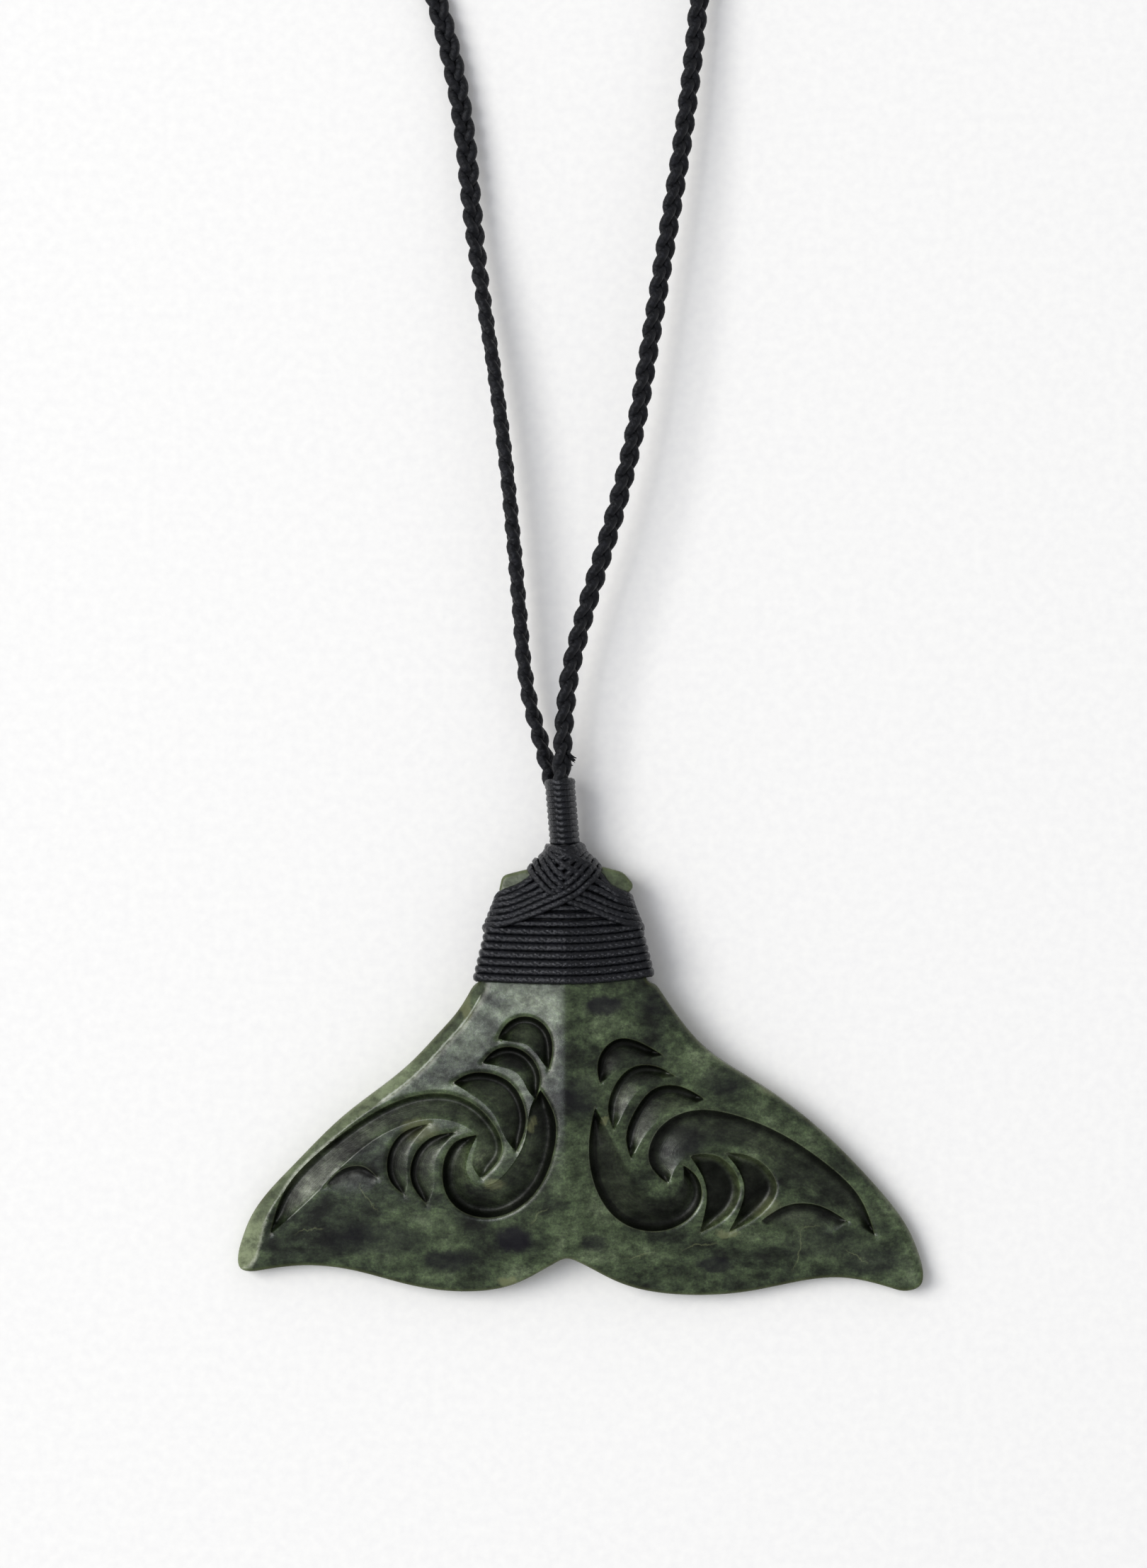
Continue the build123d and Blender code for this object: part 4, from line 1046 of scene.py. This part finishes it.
def cord_route():
    """The neck cord's line in millimetres, read from its smooth curve"""
    neck_end = ear_top + saddle_rise + neck_length
    curve = bpy.data.curves.new("cord route", "CURVE")
    curve.dimensions = "3D"
    spline = curve.splines.new("NURBS")
    spline.points.add(len(cord_points) - 1)
    for point, (x, y, z) in zip(spline.points, cord_points):
        point.co = (x * mm, (neck_end + y) * mm, z * mm, 1)
    spline.order_u = 3
    spline.use_endpoint_u = True
    spline.resolution_u = 24
    route = new_object("cord route", curve)
    view = bpy.context.evaluated_depsgraph_get()
    mesh = bpy.data.meshes.new_from_object(route.evaluated_get(view))
    points = np.array([vertex.co for vertex in mesh.vertices]) / mm
    bpy.data.objects.remove(route)
    bpy.data.meshes.remove(mesh)
    return points


def cord_line():
    """The plait's middle line, with how far it is turned along the way"""
    route = cord_route()
    # Both ends run on a little way into the neck
    ends = [route[i] + 1.2 * unit((route[i] - route[j])[None])[0] for i, j in ((0, 3), (-1, -4))]
    points = lines_through([ends[0], *route, ends[1]], 0.42)
    points = softened(points, 4, False)
    along = unit(np.gradient(points, axis=0))
    flat = unit(np.cross(np.cross(along, [0, 0, 1]), along))
    side = np.cross(along, flat)
    share = np.linspace(0, 1, len(points))
    turn = np.radians(np.interp(share, [row[0] for row in plait_turns], [row[1] for row in plait_turns]))
    turn = softened(turn[:, None], 30, False)
    return Line(points, flat * np.cos(turn) + side * np.sin(turn))


# The lashing

def stem_edges(y):
    """Where the stem's left and right edges are at a height"""
    return [float(near_table(y, [(row, x) for x, row in stem], 1)) for stem in (left_stem, right_stem)]


def stem_ring(y, grow):
    """Points round the bound stem, from the back's left edge up over the front"""
    left, right = stem_edges(y)
    top = [(x, float(face_height(x, y)) + grow) for x in (left, left * 0.6, left * 0.25, 0, right * 0.25,
                                                        right * 0.6, right)]
    return [(left - grow, groove_depth - grow)] + [(x - grow * (x == left) + grow * (x == right), z)
                                                  for x, z in top] + [(right + grow, groove_depth - grow)]


def ring_line(ring, y_of, lift, step):
    """A closed turn that lies a lift outside a ring of (x, z) points, at the height that y_of gives"""
    loop = lines_through(list(ring) + [ring[0]], step)[:-1]
    along = unit(np.roll(loop, -1, axis=0) - np.roll(loop, 1, axis=0))
    out = np.stack([-along[:, 1], along[:, 0]], axis=1)
    out = unit(softened(softened(out, 8, True), 8, True))
    loop = softened(loop, 5, True) + lift * out
    points = np.stack([loop[:, 0], y_of(loop[:, 0], loop[:, 1]), loop[:, 1]], axis=1)
    face = np.stack([out[:, 0], np.zeros(len(out)), out[:, 1]], axis=1)
    return Line(points, face, closed=True, plait=thread_plait)


def level_turn(i):
    """A turn round the stem, counted from the lowest, drawn up a little at both sides"""
    y = stem_foot + thread_pitch * (i + 0.45)

    def height(x, _):
        return y + np.where(x < 0, 0.25, 0.75) * np.clip(np.abs(x) / 9, 0, 1.05) ** 2
    return ring_line(stem_ring(y, 0.12), height, 0.33, step=0.15)


def neck_spot(y):
    """Middle of the neck and half its width and depth at a height"""
    foot = ear_top + saddle_rise
    share = np.clip((y - foot) / neck_length, -0.3, 1.4)
    x = -neck_lean * (share + 0.25)
    z = neck_base_height + share * (neck_end_height - neck_base_height)
    past = np.clip((y - foot - neck_length) / 2.5, 0, 1)
    return x, z, neck_width / 2 * (1 - 0.12 * past), neck_depth / 2 * (1 - 0.12 * past)


def neck_ring(y, grow):
    """Points round the neck, grown outwards, from its right side on"""
    x, z, wide, deep = neck_spot(y)
    angles = np.linspace(0, -2 * math.pi, 48, endpoint=False)
    return [(x + (wide + grow) * math.cos(a), z + (deep + grow) * math.sin(a)) for a in angles]


def padding_mesh():
    """The under-turns as one closed skin from the stem to the end of the neck"""
    rows = []
    for y in (12.3, 14, 16, 18, 20, 21.8):
        rows.append((y, stem_ring(y, 0.3)))
    for y, left, right, low, edge, shoulder, crown in padding_rows:
        middle, upper = (left + right) / 2, (shoulder + crown) / 2
        rows.append((y, [(left, low), (left, edge), (left * 0.7, shoulder), (left * 0.35, upper),
                         (middle, crown), (right * 0.35, upper), (right * 0.7, shoulder),
                         (right, edge), (right, low)]))
    for y in (27.0, 28.2, 30, 32, 34.9):
        rows.append((y, neck_ring(y, -0.22)[18:] + neck_ring(y, -0.22)[:18]))
    sides = 56
    points = []
    for y, ring in rows:
        ring = lines_through(list(ring) + [ring[0]], 0.2)[:-1]
        middle = (ring.min(0) + ring.max(0)) / 2
        angle = np.arctan2(ring[:, 1] - middle[1], ring[:, 0] - middle[0])
        order = np.argsort(angle)
        wanted = np.linspace(-math.pi, math.pi, sides, endpoint=False)
        columns = [np.interp(wanted, angle[order], ring[order, column], period=2 * math.pi)
                   for column in (0, 1)]
        points += [(x, y, z) for x, z in zip(*columns)]
    faces = []
    for row in range(len(rows) - 1):
        for i in range(sides):
            j = (i + 1) % sides
            a = row * sides
            faces.append((a + j, a + i, a + sides + i, a + sides + j))
    faces.append(tuple(range(sides)))
    faces.append(tuple(reversed(range(len(points) - sides, len(points)))))
    return new_mesh("padding", points, faces)


padding = padding_mesh()
padding_tree = BVHTree.FromPolygons([vertex.co / mm for vertex in padding.vertices],
                                    [tuple(face.vertices) for face in padding.polygons])


def on_front(x, y):
    """The point of the front above (x, y)"""
    hit, _, _, _ = padding_tree.ray_cast(Vector((x, y, 30)), Vector((0, 0, -1)))
    return (x, y, hit.z if hit else 3.5)


def laid(points):
    """A closed turn laid on the padding along points x, y, z and how many threads above it they lie"""
    line = curve_through(list(points) + [points[0]], 0.17)[:-1]
    # It starts at the back, where its seam isn't seen
    line = np.roll(line, -int(np.argmin(line[:, 2])), axis=0)
    spots, out = [], []
    for x, y, z, _ in line:
        spot, normal, _, _ = padding_tree.find_nearest(Vector((x, y, z)))
        spots.append(spot)
        out.append(normal)
    out = unit(softened(softened(np.array(out), 9, True), 9, True))
    lift = thread / 2 * (0.75 + 0.9 * line[:, 3:])
    points = softened(softened(np.array(spots), 7, True) + out * lift, 5, True)
    # The groove keeps the back of each turn off the paper
    points[:, 2] = np.maximum(points[:, 2], thread / 2 + 0.03)
    return Line(points, out, closed=True, plait=thread_plait)


def slanted_turn(front):
    """A turn over the front from the stem's side to the far shoulder, and back behind the stone"""
    (foot_x, foot_y, foot_layer), (top_x, top_y, top_layer) = front[0], front[-1]
    points = [(*on_front(x, y), layer) for x, y, layer in front[1:-1]]
    points.append((top_x, top_y, 4.4, top_layer))
    points.append((top_x * 0.92, top_y - 0.25, 2.0, 0.2))
    for share in (0.2, 0.5, 0.8):
        points.append((top_x + share * (foot_x - top_x), top_y - 0.3 + share * (foot_y - top_y), 0.4, 0.0))
    points.append((foot_x * 1.03, foot_y - 0.2, 2.2, 0.1))
    points.append((foot_x, foot_y, 5.0, foot_layer))
    return laid(points)


def neck_turn(y, dip, lift=0.0, tilt=0.0):
    """A whipping turn round the neck, its front drawn down by dip and leaning by tilt"""
    x0, z0, wide, deep = neck_spot(y)

    def height(x, z):
        front = np.clip((z - z0) / deep, -1, 1)
        return y - dip * front * np.clip(1 - ((x - x0) / wide) ** 2, 0, 1) + tilt * (x - x0) / wide
    return ring_line(neck_ring(y, lift - 0.5), height, 0.0, step=0.13)


def fibre_mesh(rows):
    """Short tapering fibres, each bent a little, with rounded-off ends"""
    points, faces, runs, arounds = [], [], [], []
    shares = (0.0, 0.25, 0.5, 0.75, 0.95, 1.0)
    for start, tip, wide in rows:
        start, tip = Vector(start), Vector(tip)
        along = (tip - start).normalized()
        side = along.cross(Vector((0, 0, 1))).normalized()
        up = side.cross(along)
        first = len(points)
        for share in shares:
            middle = start.lerp(tip, share) + side * 0.12 * math.sin(math.pi * share)
            radius = wide / 2 * (1 - 0.55 * share) * (0.4 if share == 1 else 1)
            for i in range(8):
                angle = 2 * math.pi * i / 8
                points.append(middle + radius * (math.cos(angle) * side + math.sin(angle) * up))
                runs.append(share * (tip - start).length)
                arounds.append((math.cos(angle), math.sin(angle), 0))
        for row in range(len(shares) - 1):
            for i in range(8):
                j, a = (i + 1) % 8, first + row * 8
                faces.append((a + i, a + 8 + i, a + 8 + j, a + j))
        faces.append(tuple(first + i for i in range(8)))
        faces.append(tuple(len(points) - 1 - i for i in range(8)))
    mesh = new_mesh("fibres", points, faces)
    point_attribute(mesh, "run", "FLOAT", runs)
    point_attribute(mesh, "around", "FLOAT_VECTOR", arounds)
    return mesh


stone = new_object("greenstone_tail_carved", stone_mesh(), greenstone_material())
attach(stone, "root")
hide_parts("greenstone_tail")

thread_wax = waxed_cord_material("waxed braided polyester thread", 0.65, (0.16, 0.3), 0.02, 1.43)
cord_wax = waxed_cord_material("waxed braided polyester cord", 0.8, (0.42, 0.62), 0.05, 1.34)

underlay = new_object("lashing_under_turns", padding, padding_material())
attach(underlay, "root")

band_lines = [level_turn(i) for i in range(band_turns)]
band = plaited("lashing_band_turns", band_lines, thread_wax, thread_plait, ply_swing, ply_lift,
               band_ply_radius, 8)
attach(band, "root")
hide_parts("lashing_band")

saddle_lines = [level_turn(i) for i in range(band_turns, band_turns + saddle_level_turns)]
saddle_lines += [slanted_turn(front) for front in rising_turns + falling_turns]
saddle = plaited("lashing_saddle_turns", saddle_lines, thread_wax, thread_plait, ply_swing, ply_lift,
                 saddle_ply_radius, 6)
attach(saddle, "root")
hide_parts("lashing_saddle")

neck_foot = ear_top + saddle_rise
neck_lines = [neck_turn(neck_foot - 1.4, 0.5, 0.7, 0.15), neck_turn(neck_foot - 0.75, 0.3, 0.42, 0.1)]
neck_lines += [neck_turn(neck_foot + neck_pitch * i, 0.08, 0.0, 0.04) for i in range(neck_turns)]
neck_lines.append(neck_turn(neck_foot + neck_length + 0.15, -0.1, 0.06, 0.1))
neck = plaited("lashing_neck_turns", neck_lines, thread_wax, thread_plait, neck_ply_swing,
               neck_ply_lift, neck_ply_radius, 8)
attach(neck, "root")
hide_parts("lashing_neck")

cord = plaited("plaited_neck_cord", [cord_line()], cord_wax, plait_length, plait_half_width,
               plait_half_depth, strand_radius, 12)
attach(cord, "root")
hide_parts("neck_cord")

frayed = new_object("frayed_cord_end", fibre_mesh(fibres), cord_wax)
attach(frayed, "root")

# Paper, light and camera
paper_half = 900
sheet = [(x * paper_half, y * paper_half, 0) for x, y in ((-1, -1), (1, -1), (1, 1), (-1, 1))]
paper = new_object("paper", new_mesh("paper", sheet, [(0, 1, 2, 3)]), paper_material())


def soft_light(name, spot, aim, size, power, colour):
    """A square lamp of a size in metres and a power in watts, turned towards its aim"""
    lamp = bpy.data.lights.new(name, "AREA")
    lamp.shape, lamp.size, lamp.energy, lamp.color = "SQUARE", size, power, tone(colour)[:3]
    holder = new_object(name, lamp)
    holder.location = spot
    holder.rotation_euler = (Vector(aim) - Vector(spot)).to_track_quat("-Z", "Y").to_euler()


soft_light("key from the left", (-1.47, 0.42, 1.84), (0, 0.02, 0), 1.4, 41.5, "#fffdf8")
soft_light("softbox above left", (-0.94, 0.14, 2.64), (0, 0.02, 0), 1.0, 8.8, "#e8f0ff")
world = bpy.data.worlds.new("pale room")
world.use_nodes = True
world.node_tree.nodes["Background"].inputs["Color"].default_value = tone("#fbfbfc")
world.node_tree.nodes["Background"].inputs["Strength"].default_value = 0.505
bpy.context.scene.world = world
bpy.context.scene.view_settings.view_transform = "Standard"

# Straight down, far enough that the cord and the ridge keep their places in the picture
camera_distance = 0.9
picture_rows, pixels_per_metre = 2214, 12100
frame_height = picture_rows / pixels_per_metre
camera = new_object("camera", bpy.data.cameras.new("camera"))
camera.data.sensor_fit = "VERTICAL"
camera.data.sensor_height = 24
camera.data.lens = 24 * camera_distance / frame_height
camera.location = (0.9 * mm, 34.7 * mm, camera_distance + 4 * mm)
camera.rotation_euler = (0, 0, 0)
bpy.context.scene.camera = camera
